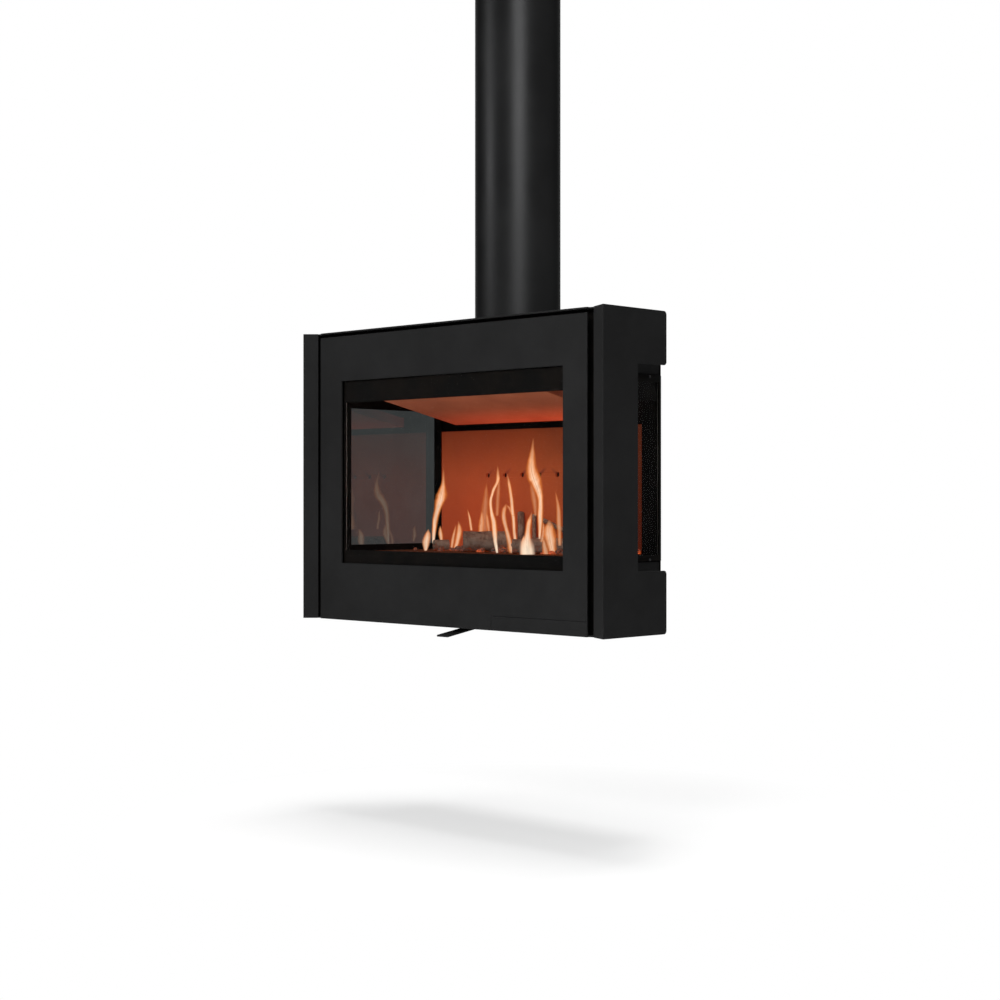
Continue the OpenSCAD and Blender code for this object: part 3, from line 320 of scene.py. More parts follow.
class Nodes:
    """The shader nodes of a finish or world: end is the output node, and place the point on the
    piece in metres."""

    def __init__(self, owner, end):
        owner.use_nodes = True
        self.tree = owner.node_tree
        self.tree.nodes.clear()
        self.end = self.add("Output" + end, {})
        self.place = self.add("TexCoord", {}).outputs["Object"]

    def feed(self, item, sockets):
        """Sets each input of a node to its value, or links it to the socket that gives it."""
        for key, value in sockets.items():
            if isinstance(value, Level):
                value = value.socket
            if isinstance(value, bpy.types.NodeSocket):
                self.tree.links.new(value, item.inputs[key])
            else:
                item.inputs[key].default_value = value

    def add(self, kind, sockets, **fields):
        """A new node; fields are its own settings, sockets are values or links by name."""
        new = self.tree.nodes.new("ShaderNode" + kind)
        for key, value in fields.items():
            setattr(new, key, value)
        self.feed(new, sockets)
        return new

    def level(self, kind, output, sockets, **fields):
        """One output of a new node, as a value."""
        return Level(self, self.add(kind, sockets, **fields).outputs[output])

    def uv(self):
        """The point on the piece's own UV map."""
        return self.add("UVMap", {}, uv_map="UVMap").outputs["UV"]

    def along(self, where, axis):
        """One coordinate of a point."""
        return self.level("SeparateXYZ", axis, {"Vector": where})

    def length(self, where):
        """Distance of a point from the origin."""
        return self.level("VectorMath", "Value", {0: where}, operation="LENGTH")

    def cloud(self, scale, detail=4.0, rough=0.55):
        """Soft noise from 0 to 1; scale is its count of waves in a metre, one for all axes or
        one for each, so that it runs along one way."""
        where = self.place
        if isinstance(scale, tuple):
            where = self.add("Mapping", {"Vector": where, "Scale": scale}).outputs["Vector"]
            scale = 1.0
        return self.level("TexNoise", "Fac", {"Vector": where, "Scale": scale, "Detail": detail,
                                              "Roughness": rough})

    def cells(self, scale, feature="F1", output="Distance"):
        """A pattern of random cells; scale is their count in a metre."""
        return self.level("TexVoronoi", output, {"Vector": self.place, "Scale": scale,
                                                 "Randomness": 1.0}, feature=feature)

    def blend(self, share, first, second):
        """Colour between first and second by share."""
        return self.add("Mix", {MIX_SHARE: share, MIX_FIRST: first, MIX_SECOND: second},
                        data_type="RGBA").outputs[MIX_RESULT]


class Look(Nodes):
    """A new finish with one Principled shader."""

    def __init__(self, name):
        self.finish = bpy.data.materials.new(name)
        super().__init__(self.finish, "Material")
        self.shader = self.add("BsdfPrincipled", {})
        self.feed(self.end, {"Surface": self.shader.outputs["BSDF"]})

    def paint(self, **looks):
        """Sets the shader's sockets by their short names."""
        self.feed(self.shader, {SHADER_SOCKETS[key]: value for key, value in looks.items()})

    def relief(self, height, strength, depth):
        """Bump from a height."""
        bump = self.add("Bump", {"Height": height, "Strength": strength, "Distance": depth})
        self.paint(normal=bump.outputs["Normal"])


def rgba(colour, gain=1.0):
    """A colour times gain, with full alpha."""
    return tuple(min(1.0, c * gain) for c in colour) + (1.0,)


# ---------------------------------------------------------------- finishes

def painted_steel(name, colour, specular, roughness, grain, **plain):
    """Matt high-temperature paint: fine grain, faint clouds and slightly uneven gloss."""
    look = Look(name)
    clouds, speck = look.cloud(7.0, 5.0), look.cloud(grain, 3.0, 0.7)
    look.paint(colour=look.blend(clouds.span(0.35, 0.65), rgba(colour, 0.9), rgba(colour, 1.12)),
               roughness=(speck + clouds).span(0.7, 1.3, roughness - 0.06, roughness + 0.07),
               specular=specular, **plain)
    look.relief(speck, 0.16, 0.0004)
    return look.finish


def chamber_steel(name, colour):
    """Chamber steel with soot: dull, patchy, with a dusting that is a little browner."""
    look = Look(name)
    soot = look.cloud(16.0, 6.0, 0.62)
    look.paint(colour=look.blend(soot.span(0.42, 0.62), rgba(colour),
                                 (0.0065, 0.0052, 0.0044, 1)),
               roughness=soot.span(0.3, 0.7, 0.62, 0.86), specular=0.03)
    look.relief(look.cloud(300.0, 3.0), 0.05, 0.0003)
    return look.finish


def galvanised_steel(name):
    """Zinc with its crystals: flat cells of slightly different grey."""
    look = Look(name)
    tone = look.level("SeparateColor", "Red", {"Color": look.cells(85.0, output="Color")})
    look.paint(colour=look.blend(tone, (0.33, 0.34, 0.35, 1), (0.5, 0.51, 0.53, 1)),
               roughness=tone.span(0.0, 1.0, 0.34, 0.52), metallic=1.0)
    look.relief(look.cells(85.0), 0.08, 0.0003)
    return look.finish


def one_grain(name, grain, shade, dark, light, gloss, bump, **plain):
    """A finish of one noise, with its waves in a metre. Its levels in shade turn it from dark to
    light, the levels 0.3 to 0.7 turn the roughness from one value of gloss to the other, and
    bump is its strength and depth as relief."""
    look = Look(name)
    level = look.cloud(grain, 4.0, 0.7)
    look.paint(colour=look.blend(level.span(*shade), dark, light),
               roughness=level.span(0.3, 0.7, *gloss), **plain)
    look.relief(level, *bump)
    return look.finish


def brushed_metal(name, grain, dark, light, roughness):
    """Bare metal with fine brush lines."""
    return one_grain(name, grain, (0.3, 0.7), dark, light, (roughness - 0.07, roughness + 0.1),
                     (0.1, 0.0002), metallic=1.0)


def cast_iron(name):
    """Sand-cast iron: pitted, rough and grey-black."""
    look = Look(name)
    sand = look.cloud(420.0, 5.0, 0.75)
    look.paint(colour=look.blend(look.cloud(30.0), (0.022, 0.021, 0.02, 1),
                                 (0.05, 0.047, 0.044, 1)),
               roughness=sand.span(0.3, 0.7, 0.55, 0.75), specular=0.3)
    look.relief(sand, 0.7, 0.0008)
    return look.finish


def smoked_pane(name, hide, colour, grey, shine, gloss):
    """Flat side pane: glossy, with faint soot streaks. hide is how much each face hides, grey
    the strength of a painted even grey glow, light the pane gives off though it is no lamp,
    shine its share of the full reflection and gloss its index of refraction."""
    look = Look(name)
    streak = look.cloud((22.0, 22.0, 3.0))
    look.paint(alpha=streak.span(0.35, 0.65, hide, min(1.0, hide + 0.05)), colour=colour,
               roughness=streak.span(0.3, 0.7, 0.02, 0.05), specular=shine, gloss=gloss)
    # Painted light: an even grey glow on the pane, faintly clouded
    if grey:
        look.paint(glow_colour=(0.88, 0.98, 0.98, 1),
                   glow=look.cloud(9.0, 3.0).span(0.3, 0.7, grey * 0.88, grey * 1.1))
    return look.finish


def door_pane(name, low, high, border):
    """Clear door pane with a black printed border: alpha is 1 nearer than border to an edge of
    the box low..high (metres, across and up) and small elsewhere, with a faint haze."""
    look = Look(name)
    across, up = look.along(look.place, "X"), look.along(look.place, "Z")
    reach = (across - low[0]).math("MINIMUM", high[0] - across, up - low[1], high[1] - up)
    haze = look.cloud(9.0, 5.0).span(0.4, 0.7, 0.015, 0.05)
    ink = reach.span(border - 0.0006, border + 0.0006, 1.0, 0.0)
    look.paint(alpha=ink.math("MAXIMUM", haze), colour=(0.004, 0.004, 0.004, 1),
               roughness=ink.span(0.0, 1.0, 0.03, 0.3), specular=0.05)
    return look.finish


def rope_yarn(name):
    """Braided glass rope: slanting strands from two crossing waves on the piece's own UV, where
    U runs round the rope and V along it in metres."""
    look = Look(name)
    strands = []
    for slant in (0.9, -0.9):
        turned = look.add("Mapping", {"Vector": look.uv(), "Scale": (3.0, 260.0, 1.0),
                                      "Rotation": (0.0, 0.0, slant)}).outputs["Vector"]
        strands.append(look.level("TexWave", "Fac", {"Vector": turned, "Scale": 0.6,
                                                     "Distortion": 0.6, "Detail": 1.0}))
    braid = strands[0].math("MAXIMUM", strands[1])
    look.paint(colour=look.blend(braid, (0.09, 0.086, 0.08, 1), (0.3, 0.285, 0.265, 1)),
               roughness=0.92, specular=0.2)
    look.relief(braid, 0.8, 0.0006)
    return look.finish


def dark_hole_strokes(look):
    """Dark marks on the board, one over each air hole: a short slanting stroke that leans towards
    the fire's middle. In the cell of the nearest hole, it is where the way across differs little
    from the lean times the height over the hole. There are seven holes, so no cell beyond three
    and a half pitches from the middle has one."""
    across = look.along(look.place, "X")
    rise = look.along(look.place, "Z") - AIR_HOLES_Z
    cell = look.level("Math", "Value", {0: across, 1: AIR_PITCH / 2, 2: -AIR_PITCH / 2},
                      operation="WRAP")
    line = (FIRE_MIDDLE_X - across).math("SIGN") * 1.15 * rise
    beyond = abs(across).span(AIR_PITCH * 3.4, AIR_PITCH * 3.5)
    return ((abs(cell - line) + beyond).span(0.003, 0.009, 1.0, 0.0)
            * rise.span(-0.004, 0.003) * rise.span(0.006, 0.021, 0.8, 0.0)
            * look.cloud(60.0).span(0.3, 0.6, 0.5, 1.0))


def fired_board(name, colour, glow=0.0, heart=(0.0, 0.0, 0.0), reach=(1.0, 1.0, 1.0),
                trails=False):
    """Pressed mineral board: pale flakes in a matt ground, thin soot clouds, and painted firelight:
    a red glow that stands in for the fire's light falling on the board. The glow is strongest
    at heart (metres) and fades with the distance from it, which is measured in units of reach
    along each axis."""
    look = Look(name)
    flake = look.cells(230.0).span(0.1, 0.55, 1.0, 0.0)
    clouds = look.cloud(6.0, 6.0, 0.6)
    soot = clouds.span(0.35, 0.7, 0.0, 0.3)
    if trails:
        soot = soot.math("MAXIMUM", dark_hole_strokes(look))
    ground = look.blend(flake * 0.5, rgba(colour, 0.88), rgba(colour, 1.15))
    look.paint(colour=look.blend(soot, ground, (0.05, 0.035, 0.026, 1)), roughness=0.95,
               specular=0.05)
    # Painted firelight: a red glow round heart stands in for the fire's light on the board
    if glow:
        off = look.add("VectorMath", {0: look.place, 1: heart}, operation="SUBTRACT")
        scaled = look.add("VectorMath", {0: off.outputs["Vector"], 1: reach},
                          operation="DIVIDE").outputs["Vector"]
        painted_firelight = look.length(scaled).span(0.0, 1.0, glow, glow * 0.12, "SMOOTHSTEP")
        look.paint(glow_colour=(1.0, 0.055, 0.012, 1), glow=painted_firelight * clouds.span(0.3, 0.7, 1.06, 0.9))
    look.relief(flake + look.cloud(700.0) * 0.6, 0.25, 0.0005)
    return look.finish


def charred_bark(name, colour, glow):
    """Burnt wood: grey-brown bark with fine dark cracks along and across the stem, pale ash in
    patches, and a little red light low down in the cracks."""
    look = Look(name)
    fine, broad = look.cloud(160.0, 6.0, 0.7), look.cloud(30.0, 5.0, 0.6)
    bark = look.blend(fine.span(0.3, 0.7), rgba(colour, 0.55), rgba(colour, 1.25))
    ashen = look.blend(broad.span(0.45, 0.65, 0.0, 0.7), bark, (0.24, 0.19, 0.15, 1))
    crack = (look.cells(120.0, "DISTANCE_TO_EDGE").span(0.0, 0.05, 1.0, 0.0)
             * broad.span(0.4, 0.6, 0.9, 0.1))
    heat = look.along(look.place, "Z").span(HEARTH_TOP, HEARTH_TOP + 0.022, glow, 0.0)
    look.paint(colour=look.blend(crack, ashen, (0.02, 0.013, 0.01, 1)), roughness=0.93,
               specular=0.1, glow=heat * crack, glow_colour=(1.0, 0.12, 0.02, 1))
    look.relief(crack * -0.8 + fine * 0.6, 0.7, 0.0014)
    return look.finish


def glowing_ember(name, glow):
    """Charcoal lumps: dark skin with pale ash, and glowing seams that are brighter low down and
    towards the right end of the hearth."""
    look = Look(name)
    low = look.along(look.place, "Z").span(HEARTH_TOP + 0.002, HEARTH_TOP + 0.018, glow, 0.0)
    seams = (look.cells(190.0, "DISTANCE_TO_EDGE").span(0.0, 0.09, 0.8, 0.0)
             + look.cloud(26.0, 3.0).span(0.5, 0.66, 0.0, 0.9))
    hot = look.along(look.place, "X").span(0.2, 0.29, 0.3, 2.4)
    look.paint(colour=look.blend(look.cloud(120.0), (0.015, 0.011, 0.009, 1),
                                 (0.13, 0.11, 0.095, 1)),
               roughness=0.95, specular=0.08, glow=low * seams * hot,
               glow_colour=(1.0, 0.13, 0.02, 1))
    look.relief(look.cloud(380.0, 4.0), 0.6, 0.0009)
    return look.finish


def flame_light(name, glow):
    """Flame: pale peach at its middle, orange at its rim and tip, and clear past its edge. U
    runs across a tongue, V from its root to its tip, and each tongue has its own tone. The
    strongest tongues are nearly white over the hearth."""
    look = Look(name)
    across, up = look.along(look.uv(), "X"), look.along(look.uv(), "Y")
    own = look.level("Attribute", "Fac", {}, attribute_name="tone")
    shifted = across + (look.cloud((90.0, 90.0, 26.0), 2.0, 0.5) - 0.5) * 0.22
    off = abs(shifted * 2.0 - 1.0)
    body = off.span(0.4, 1.0, 1.0, 0.0, "SMOOTHSTEP")
    tip, root = up.span(0.8, 1.0, 1.0, 0.15), up.span(0.0, 0.03, 0.4, 1.0)
    wisps = look.cloud((130.0, 130.0, 30.0), 2.0).span(0.3, 0.6, 0.78, 1.0)
    core = (off.span(0.12, 0.62, 1.0, 0.0) * up.span(0.55, 1.0, 1.0, 0.3)
            * own.span(0.4, 0.95, 0.45, 1.0))
    ramp = look.add("ValToRGB", {"Fac": core})
    ramp.color_ramp.elements[0].color = (0.75, 0.20, 0.04, 1)
    ramp.color_ramp.elements[1].color = (1.0, 0.66, 0.45, 1)
    ramp.color_ramp.elements.new(0.45).color = (0.93, 0.43, 0.21, 1)
    low = look.along(look.place, "Z").span(HEARTH_TOP + 0.012, HEARTH_TOP + 0.05, 0.75, 0.0)
    look.paint(alpha=body * tip * root * wisps * own, colour=(0, 0, 0, 1), specular=0.0,
               roughness=1.0, glow=glow,
               glow_colour=look.blend(low * own.span(0.85, 1.0), ramp.outputs["Color"],
                                      (1.0, 0.86, 0.66, 1)))
    return look.finish


# Each slot's finish, and those of the embers and flames
FINISHES = {}


class FIREPLACE_OT_mix_finishes(bpy.types.Operator):
    """Makes every finish and puts it on the CAD parts by their slots"""
    bl_idname = "fireplace.mix_finishes"
    bl_label = "Mix finishes"

    def execute(self, context):
        steel, chamber = settings("steel"), settings("chamber")
        pane_low, pane_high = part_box("door_glass")
        FINISHES.update({
            "black_steel": painted_steel("black_steel_paint", steel.paint, 0.01, 0.5, 900.0),
            # A burnished black that shines face on and stays dark at a glancing view
            "pipe_black": painted_steel("pipe_paint", steel.pipe_paint, 0.5, 0.42, 1100.0,
                                        metallic=1.0, tint=(0.45, 0.45, 0.45, 1)),
            "chamber_black": chamber_steel("sooty_chamber_steel", steel.chamber_paint),
            "galvanised": galvanised_steel("zinc_crystals"),
            "stainless": brushed_metal("brushed_stainless", (40.0, 40.0, 900.0),
                                       (0.42, 0.41, 0.4, 1), (0.6, 0.59, 0.57, 1), 0.3),
            # Oiled black with a thin bright rub on the raised grain
            "dark_screw": one_grain("black_oxide_screws", 900.0, (0.58, 0.74),
                                    (0.016, 0.016, 0.017, 1), (0.09, 0.088, 0.085, 1),
                                    (0.42, 0.3), (0.15, 0.0002), metallic=0.7),
            "cast_collar": cast_iron("sand_cast_iron"),
            # The left pane carries a painted even grey glow, set in the chamber settings
            "side_glass": smoked_pane("smoked_side_glass", hide=1.0,
                                      colour=(0.002, 0.002, 0.002, 1), grey=chamber.side_painted_grey,
                                      shine=0.8, gloss=1.7),
            "door_glass": door_pane("printed_door_glass", (pane_low.x, pane_low.z),
                                    (pane_high.x, pane_high.z), border=0.016),
            "rope_gasket": rope_yarn("braided_rope"),
            # The lining board carries painted firelight, strongest near the fire's heart
            "vermiculite": fired_board("fired_mineral_board", chamber.board, chamber.board_firelight_glow,
                                       heart=(-0.23, 0.074, HEARTH_TOP + 0.073),
                                       reach=(0.5, 1.0, 0.33), trails=True),
            "hearth": fired_board("ashen_hearth_board", rgba(chamber.board, 0.45)[:3]),
            "charred_wood": charred_bark("charred_bark", chamber.char, glow=0.6),
            # Dark brown-grey with fine pits
            "magnet": one_grain("sintered_magnet", 800.0, (0.0, 1.0), (0.03, 0.026, 0.024, 1),
                                (0.075, 0.068, 0.064, 1), (0.7, 0.7), (0.4, 0.0003)),
            "bronze": brushed_metal("oiled_bronze", (500.0, 500.0, 500.0),
                                    (0.3, 0.17, 0.07, 1), (0.46, 0.28, 0.12, 1), 0.38),
            "ember": glowing_ember("glowing_charcoal", glow=1.6),
            "flame": flame_light("flame_tongues", settings("fire").flame_glow),
        })
        for name, part in frame["nodes"].items():
            part.data.materials.clear()
            part.data.materials.append(FINISHES[NODE_SLOT[name]])
        # Painted firelight: the baffle glows along its rear edge, where the flames wash over it
        low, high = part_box("baffle")
        frame["nodes"]["baffle"].data.materials[0] = fired_board(
            "tanned_baffle_board", (0.4, 0.155, 0.082), 0.32, heart=(0.1, high.y, low.z),
            reach=(0.8, 0.16, 0.5))
        return {"FINISHED"}


# ---------------------------------------------------------------- sheets with soft edges

# Edges between faces that meet at more than this angle are cut edges or folds
SHARP = math.radians(40)


def soften(name, width, segments=2, fold=None, rims=True):
    """Replaces a CAD sheet with a copy whose edges are rounded by width; fold is a test of edge
    ends (points[n, 2, 3]) and a radius for the edges that it picks, and rims rounds the rest."""
    mesh = frame["nodes"][name].data.copy()
    mesh.name = name + "_soft"
    merge_corners(mesh, 1e-5)
    mesh.shade_smooth()
    mesh.set_sharp_from_angle(angle=SHARP)
    obj = placed(name + "_soft", mesh)
    if fold:
        test, radius = fold
        ends = np.empty(len(mesh.edges) * 2, np.int32)
        mesh.edges.foreach_get("vertices", ends)
        picked = test(mesh_points(mesh)[ends.reshape(-1, 2)])
        weight = mesh.attributes.new("bevel_weight_edge", "FLOAT", "EDGE")
        weight.data.foreach_set("value", picked.astype(np.float32))
        bend = obj.modifiers.new("Fold", "BEVEL")
        bend.limit_method = "WEIGHT"
        bend.width = radius
        bend.segments = 5 if rims else segments
    if rims:
        edge = obj.modifiers.new("Edges", "BEVEL")
        edge.limit_method = "ANGLE"
        edge.angle_limit = SHARP
        edge.width = width
        edge.segments = segments
        edge.use_clamp_overlap = False
    even = obj.modifiers.new("Even shade", "WEIGHTED_NORMAL")
    even.keep_sharp = not rims
    even.weight = 80
    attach(obj, frame["nodes"][name]["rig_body"])
    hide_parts(name)


SOFT_SHEETS = ("top_casing", "bottom_casing", "front_frame", "rear_shield", "rear_casing",
               "door_plate", "door_frame", "left_bezel", "right_bezel", "ceiling_rosette",
               "pull_bracket", "hinge_brackets", "air_box")


class FIREPLACE_OT_soften_sheets(bpy.types.Operator):
    """Rounds the cut edges and folds of the body's sheets"""
    bl_idname = "fireplace.soften_sheets"
    bl_label = "Soften sheet edges"

    def execute(self, context):
        steel = settings("steel")
        for name in ("left_wing", "right_wing"):
            low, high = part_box(name)
            outer = max(low.x, high.x, key=abs)

            def on_fold(ends, corner=(outer, low.y)):
                return (np.abs(ends[..., :2] - corner) < 1e-4).all(axis=(1, 2))

            soften(name, steel.edge, 3, (on_fold, steel.fold))
        for name in SOFT_SHEETS:
            soften(name, steel.edge * (0.8 if name == "door_plate" else 1.0))
        for name in ("door_pull", "air_lever"):
            soften(name, steel.edge * 1.1, 3)
        return {"FINISHED"}


class FIREPLACE_OT_soften_boards(bpy.types.Operator):
    """Rounds the edges of the lining boards"""
    bl_idname = "fireplace.soften_boards"
    bl_label = "Soften board edges"

    def execute(self, context):
        round_over = 0.0014
        for name in ("rear_lining", "hearth_floor"):
            box = np.array([list(corner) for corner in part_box(name)])

            def on_rim(ends, box=box):
                # Both ends lie on the same two faces of the node's box
                near = np.abs(ends[:, :, None, :] - box[None, None]).min(axis=2) < 1e-5
                same = near.all(axis=1) & (np.abs(ends[:, 0] - ends[:, 1]) < 1e-5)
                return same.sum(axis=1) >= 2

            soften(name, round_over, fold=(on_rim, round_over), rims=False)
        soften("baffle", round_over)
        return {"FINISHED"}


# ---------------------------------------------------------------- pipe

class FIREPLACE_OT_roll_pipe(bpy.types.Operator):
    """Rolls the flue pipe as one smooth tube with a lapped seam at its rear"""
    bl_idname = "fireplace.roll_pipe"
    bl_label = "Roll pipe"

    def execute(self, context):
        low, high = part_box("outer_pipe")
        radius, wall, lap, half_lap, rim = high.x, 0.0019, 0.0007, 0.0045, 0.0006
        turn = np.linspace(-math.pi, math.pi, settings("steel").pipe_turns + 1)
        # A shallow raised seam behind: the radius grows by lap inside a 9 mm band, eased
        outer = radius - lap + lap * np.exp(-(turn * radius / half_lap) ** 4)
        # Each ring's depth under the skin and its height: up the skin, and down the bore
        skin = [(0.0, low.z + (high.z - low.z) * share) for share in (0.02, 0.5, 0.98)]
        profile = np.array([(wall, low.z), (rim, low.z), (0.0, low.z + rim)] + skin + [
            (0.0, high.z - rim), (rim, high.z), (wall, high.z), (wall, low.z)])
        reach = outer - profile[:, :1]
        angle = turn + math.pi / 2
        points = np.stack(np.broadcast_arrays(reach * np.cos(angle), reach * np.sin(angle),
                                              profile[:, 1:]), axis=-1)
        replace_node("outer_pipe", "rolled_pipe", [(points, unit_uv(*points.shape[:2]))], 35.0)
        return {"FINISHED"}


# ---------------------------------------------------------------- screws

# Strips round a screw, and the least height of a head that stands out
SCREW_STRIPS = 24
HEAD_LEAST = 1e-4


def loose_solids(name):
    """Points of each separate solid of a CAD node: corners are merged by place, and each corner
    takes the smallest number it can reach along triangles until nothing changes."""
    mesh = frame["nodes"][name].data
    points, same = np.unique(mesh_points(mesh).round(6), axis=0, return_inverse=True)
    mesh.calc_loop_triangles()
    corners = np.empty(len(mesh.loop_triangles) * 3, np.int32)
    mesh.loop_triangles.foreach_get("vertices", corners)
    corners = same.ravel()[corners].reshape(-1, 3)
    label = np.arange(len(points))
    while True:
        least = label[corners].min(axis=1)
        new = label.copy()
        np.minimum.at(new, corners.ravel(), np.repeat(least, 3))
        new = new[new]
        if (new == label).all():
            break
        label = new
    return [points[label == value] for value in np.unique(label)]


def screw_frame(points):
    """Axis out of the head, the head's outer middle, and the sizes of one screw: head radius,
    shank radius, head height and length. The axis is the way round which the corners lie at the
    fewest distances, and the head is its wider end."""
    middle = (points.min(axis=0) + points.max(axis=0)) / 2
    ways = np.linalg.svd(points - points.mean(axis=0), full_matrices=False)[2]
    best = None
    for way in ways:
        rise = (points - middle) @ way
        radii = np.linalg.norm(points - middle - rise[:, None] * way, axis=1)
        levels = len(np.unique(radii.round(4)))
        if best is None or levels < best[0]:
            best = (levels, way, rise, radii)
    _, way, rise, radii = best
    wide = rise[radii > radii.max() * 0.9]
    if wide.mean() < (rise.min() + rise.max()) / 2:
        way, rise, wide = -way, -rise, -wide
    slim = radii[(radii < radii.max() * 0.9) & (radii > 1e-5)]
    return (way, middle + way * rise.max(), radii.max(),
            slim.max() if len(slim) else radii.max() * 0.55,
            wide.max() - wide.min(), rise.max() - rise.min())


def screw_surface(points, hex_outside):
    """A screw turned about its axis: a shank, a flush or rounded head and a six-sided socket.
    Its radius is a profile over height, times 1 or the ratio of a hexagon to its inner circle.
    A row of the profile holds the radius, the height, and 1 where the ring is six-sided."""
    way, top, head_r, shank_r, head_h, whole = screw_frame(points)
    way = way / np.linalg.norm(way)
    side = np.cross(way, (0.0, 0.0, 1.0) if abs(way[2]) < 0.9 else (1.0, 0.0, 0.0))
    side /= np.linalg.norm(side)
    third = np.cross(way, side)
    flush = head_h < HEAD_LEAST
    deep = head_r - shank_r if flush else head_h
    shank = [(0, -whole, 0), (shank_r, -whole, 0), (shank_r, -deep, 0)]
    if flush:
        head = [(head_r * 0.96, -deep * 0.04, 0), (head_r * 0.93, 0, 0), (head_r * 0.5, 0, 0),
                (head_r * 0.44, -deep * 0.05, 1), (head_r * 0.42, -deep * 0.7, 1),
                (0, -deep * 0.75, 0)]
    elif hex_outside:
        head = [(head_r, -deep, 1), (head_r, -deep * 0.2, 1), (head_r * 0.86, 0, 0), (0, 0, 0)]
    else:
        head = [(head_r * 0.96, -deep, 0), (head_r, -deep * 0.85, 0), (head_r, -deep * 0.55, 0),
                (head_r * 0.9, -deep * 0.2, 0), (head_r * 0.68, -deep * 0.02, 0),
                (head_r * 0.54, 0, 0), (head_r * 0.47, -deep * 0.04, 1),
                (head_r * 0.45, -deep * 0.6, 1), (0, -deep * 0.7, 0)]
    turn = np.linspace(0, 2 * math.pi, SCREW_STRIPS + 1)
    hexagon = math.cos(math.pi / 6) / np.cos((turn + math.pi / 6) % (math.pi / 3) - math.pi / 6)
    rows = np.array(shank + head)
    radius = rows[:, 0:1] * np.where(rows[:, 2:3] > 0, hexagon[None, :], 1.0)
    place = (top + rows[:, 1, None, None] * way
             + radius[..., None] * (np.cos(turn)[None, :, None] * side
                                    + np.sin(turn)[None, :, None] * third))
    return place, unit_uv(*place.shape[:2])


SCREW_SETS = ("rosette_screws", "pipe_screws", "casing_screws", "bezel_screws", "hinge_screws",
              "door_frame_screws", "lever_screw", "flange_bolts")


class FIREPLACE_OT_turn_screws(bpy.types.Operator):
    """Gives each screw a rounded head with a socket, and each flange bolt a hexagon"""
    bl_idname = "fireplace.turn_screws"
    bl_label = "Turn screws"

    def execute(self, context):
        for name in SCREW_SETS:
            shapes = [screw_surface(points, name == "flange_bolts")
                      for points in loose_solids(name)]
            replace_node(name, name + "_turned", shapes, 38.0)
        return {"FINISHED"}


# ---------------------------------------------------------------- rope gaskets

# Strips round a rope, points of each corner's arc, and the least step along a side
ROPE_STRIPS = 16
ARC_POINTS = 7
ROPE_STEP = 0.03


def round_rectangle(low, high, corner):
    """Points[n, 2] round the rectangle low..high, whose corners are quarter circles of radius
    corner; the last point is the first one again."""
    arcs = []
    for way, start in (((1, 1), 0.0), ((-1, 1), 0.5), ((-1, -1), 1.0), ((1, -1), 1.5)):
        middle = np.where(np.array(way) > 0, high - corner, low + corner)
        angle = np.linspace(start * math.pi, (start + 0.5) * math.pi, ARC_POINTS)
        arcs.append(middle + corner * np.stack([np.cos(angle), np.sin(angle)], -1))
    line = np.concatenate(arcs + [arcs[0][:1]])
    dense = []
    for first, last in zip(line[:-1], line[1:]):
        count = max(1, int(np.linalg.norm(last - first) / ROPE_STEP))
        dense.append(first + (last - first) * np.linspace(0, 1, count, endpoint=False)[:, None])
    return np.concatenate(dense + [line[:1]])


def rope_ring(name, flat_axis, corner):
    """A rope laid as a rectangle: its middle line is a rectangle with round corners, offset half
    a rope in from the node's box, and its section is an ellipse that fills the node's section."""
    low, high = (np.array(c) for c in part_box(name))
    axes = [a for a in range(3) if a != flat_axis]
    levels = np.unique(mesh_points(frame["nodes"][name].data)[:, axes[0]].round(5))
    half = (levels[1] - levels[0]) / 2
    line = round_rectangle(low[axes] + half, high[axes] - half, corner)
    ahead = np.roll(line[:-1], -1, 0) - np.roll(line[:-1], 1, 0)
    ahead = np.concatenate([ahead, ahead[:1]])
    ahead /= np.linalg.norm(ahead, axis=1)[:, None]
    outward = np.stack([ahead[:, 1], -ahead[:, 0]], -1)
    run = np.concatenate([[0], np.cumsum(np.linalg.norm(np.diff(line, axis=0), axis=1))])
    turn = np.linspace(0, 2 * math.pi, ROPE_STRIPS + 1)
    place = np.empty((len(line), len(turn), 3))
    place[..., axes] = line[:, None, :] + outward[:, None, :] * (half * np.cos(turn))[:, None]
    place[..., flat_axis] = (low + high)[flat_axis] / 2 + (
        high - low)[flat_axis] / 2 * np.sin(turn)
    uv = np.stack(np.broadcast_arrays(turn[None, :] / (2 * math.pi), run[:, None]), -1)
    replace_node(name, name + "_rope", [(place, uv)])


class FIREPLACE_OT_lay_ropes(bpy.types.Operator):
    """Lays braided rope round the door and the side panes"""
    bl_idname = "fireplace.lay_ropes"
    bl_label = "Lay ropes"

    def execute(self, context):
        rope_ring("door_gasket", flat_axis=1, corner=0.012)
        rope_ring("left_glass_gasket", flat_axis=0, corner=0.006)
        rope_ring("right_glass_gasket", flat_axis=0, corner=0.006)
        return {"FINISHED"}


# ---------------------------------------------------------------- logs and embers

# The CAD stems have this many sides
STEM_SIDES = 10


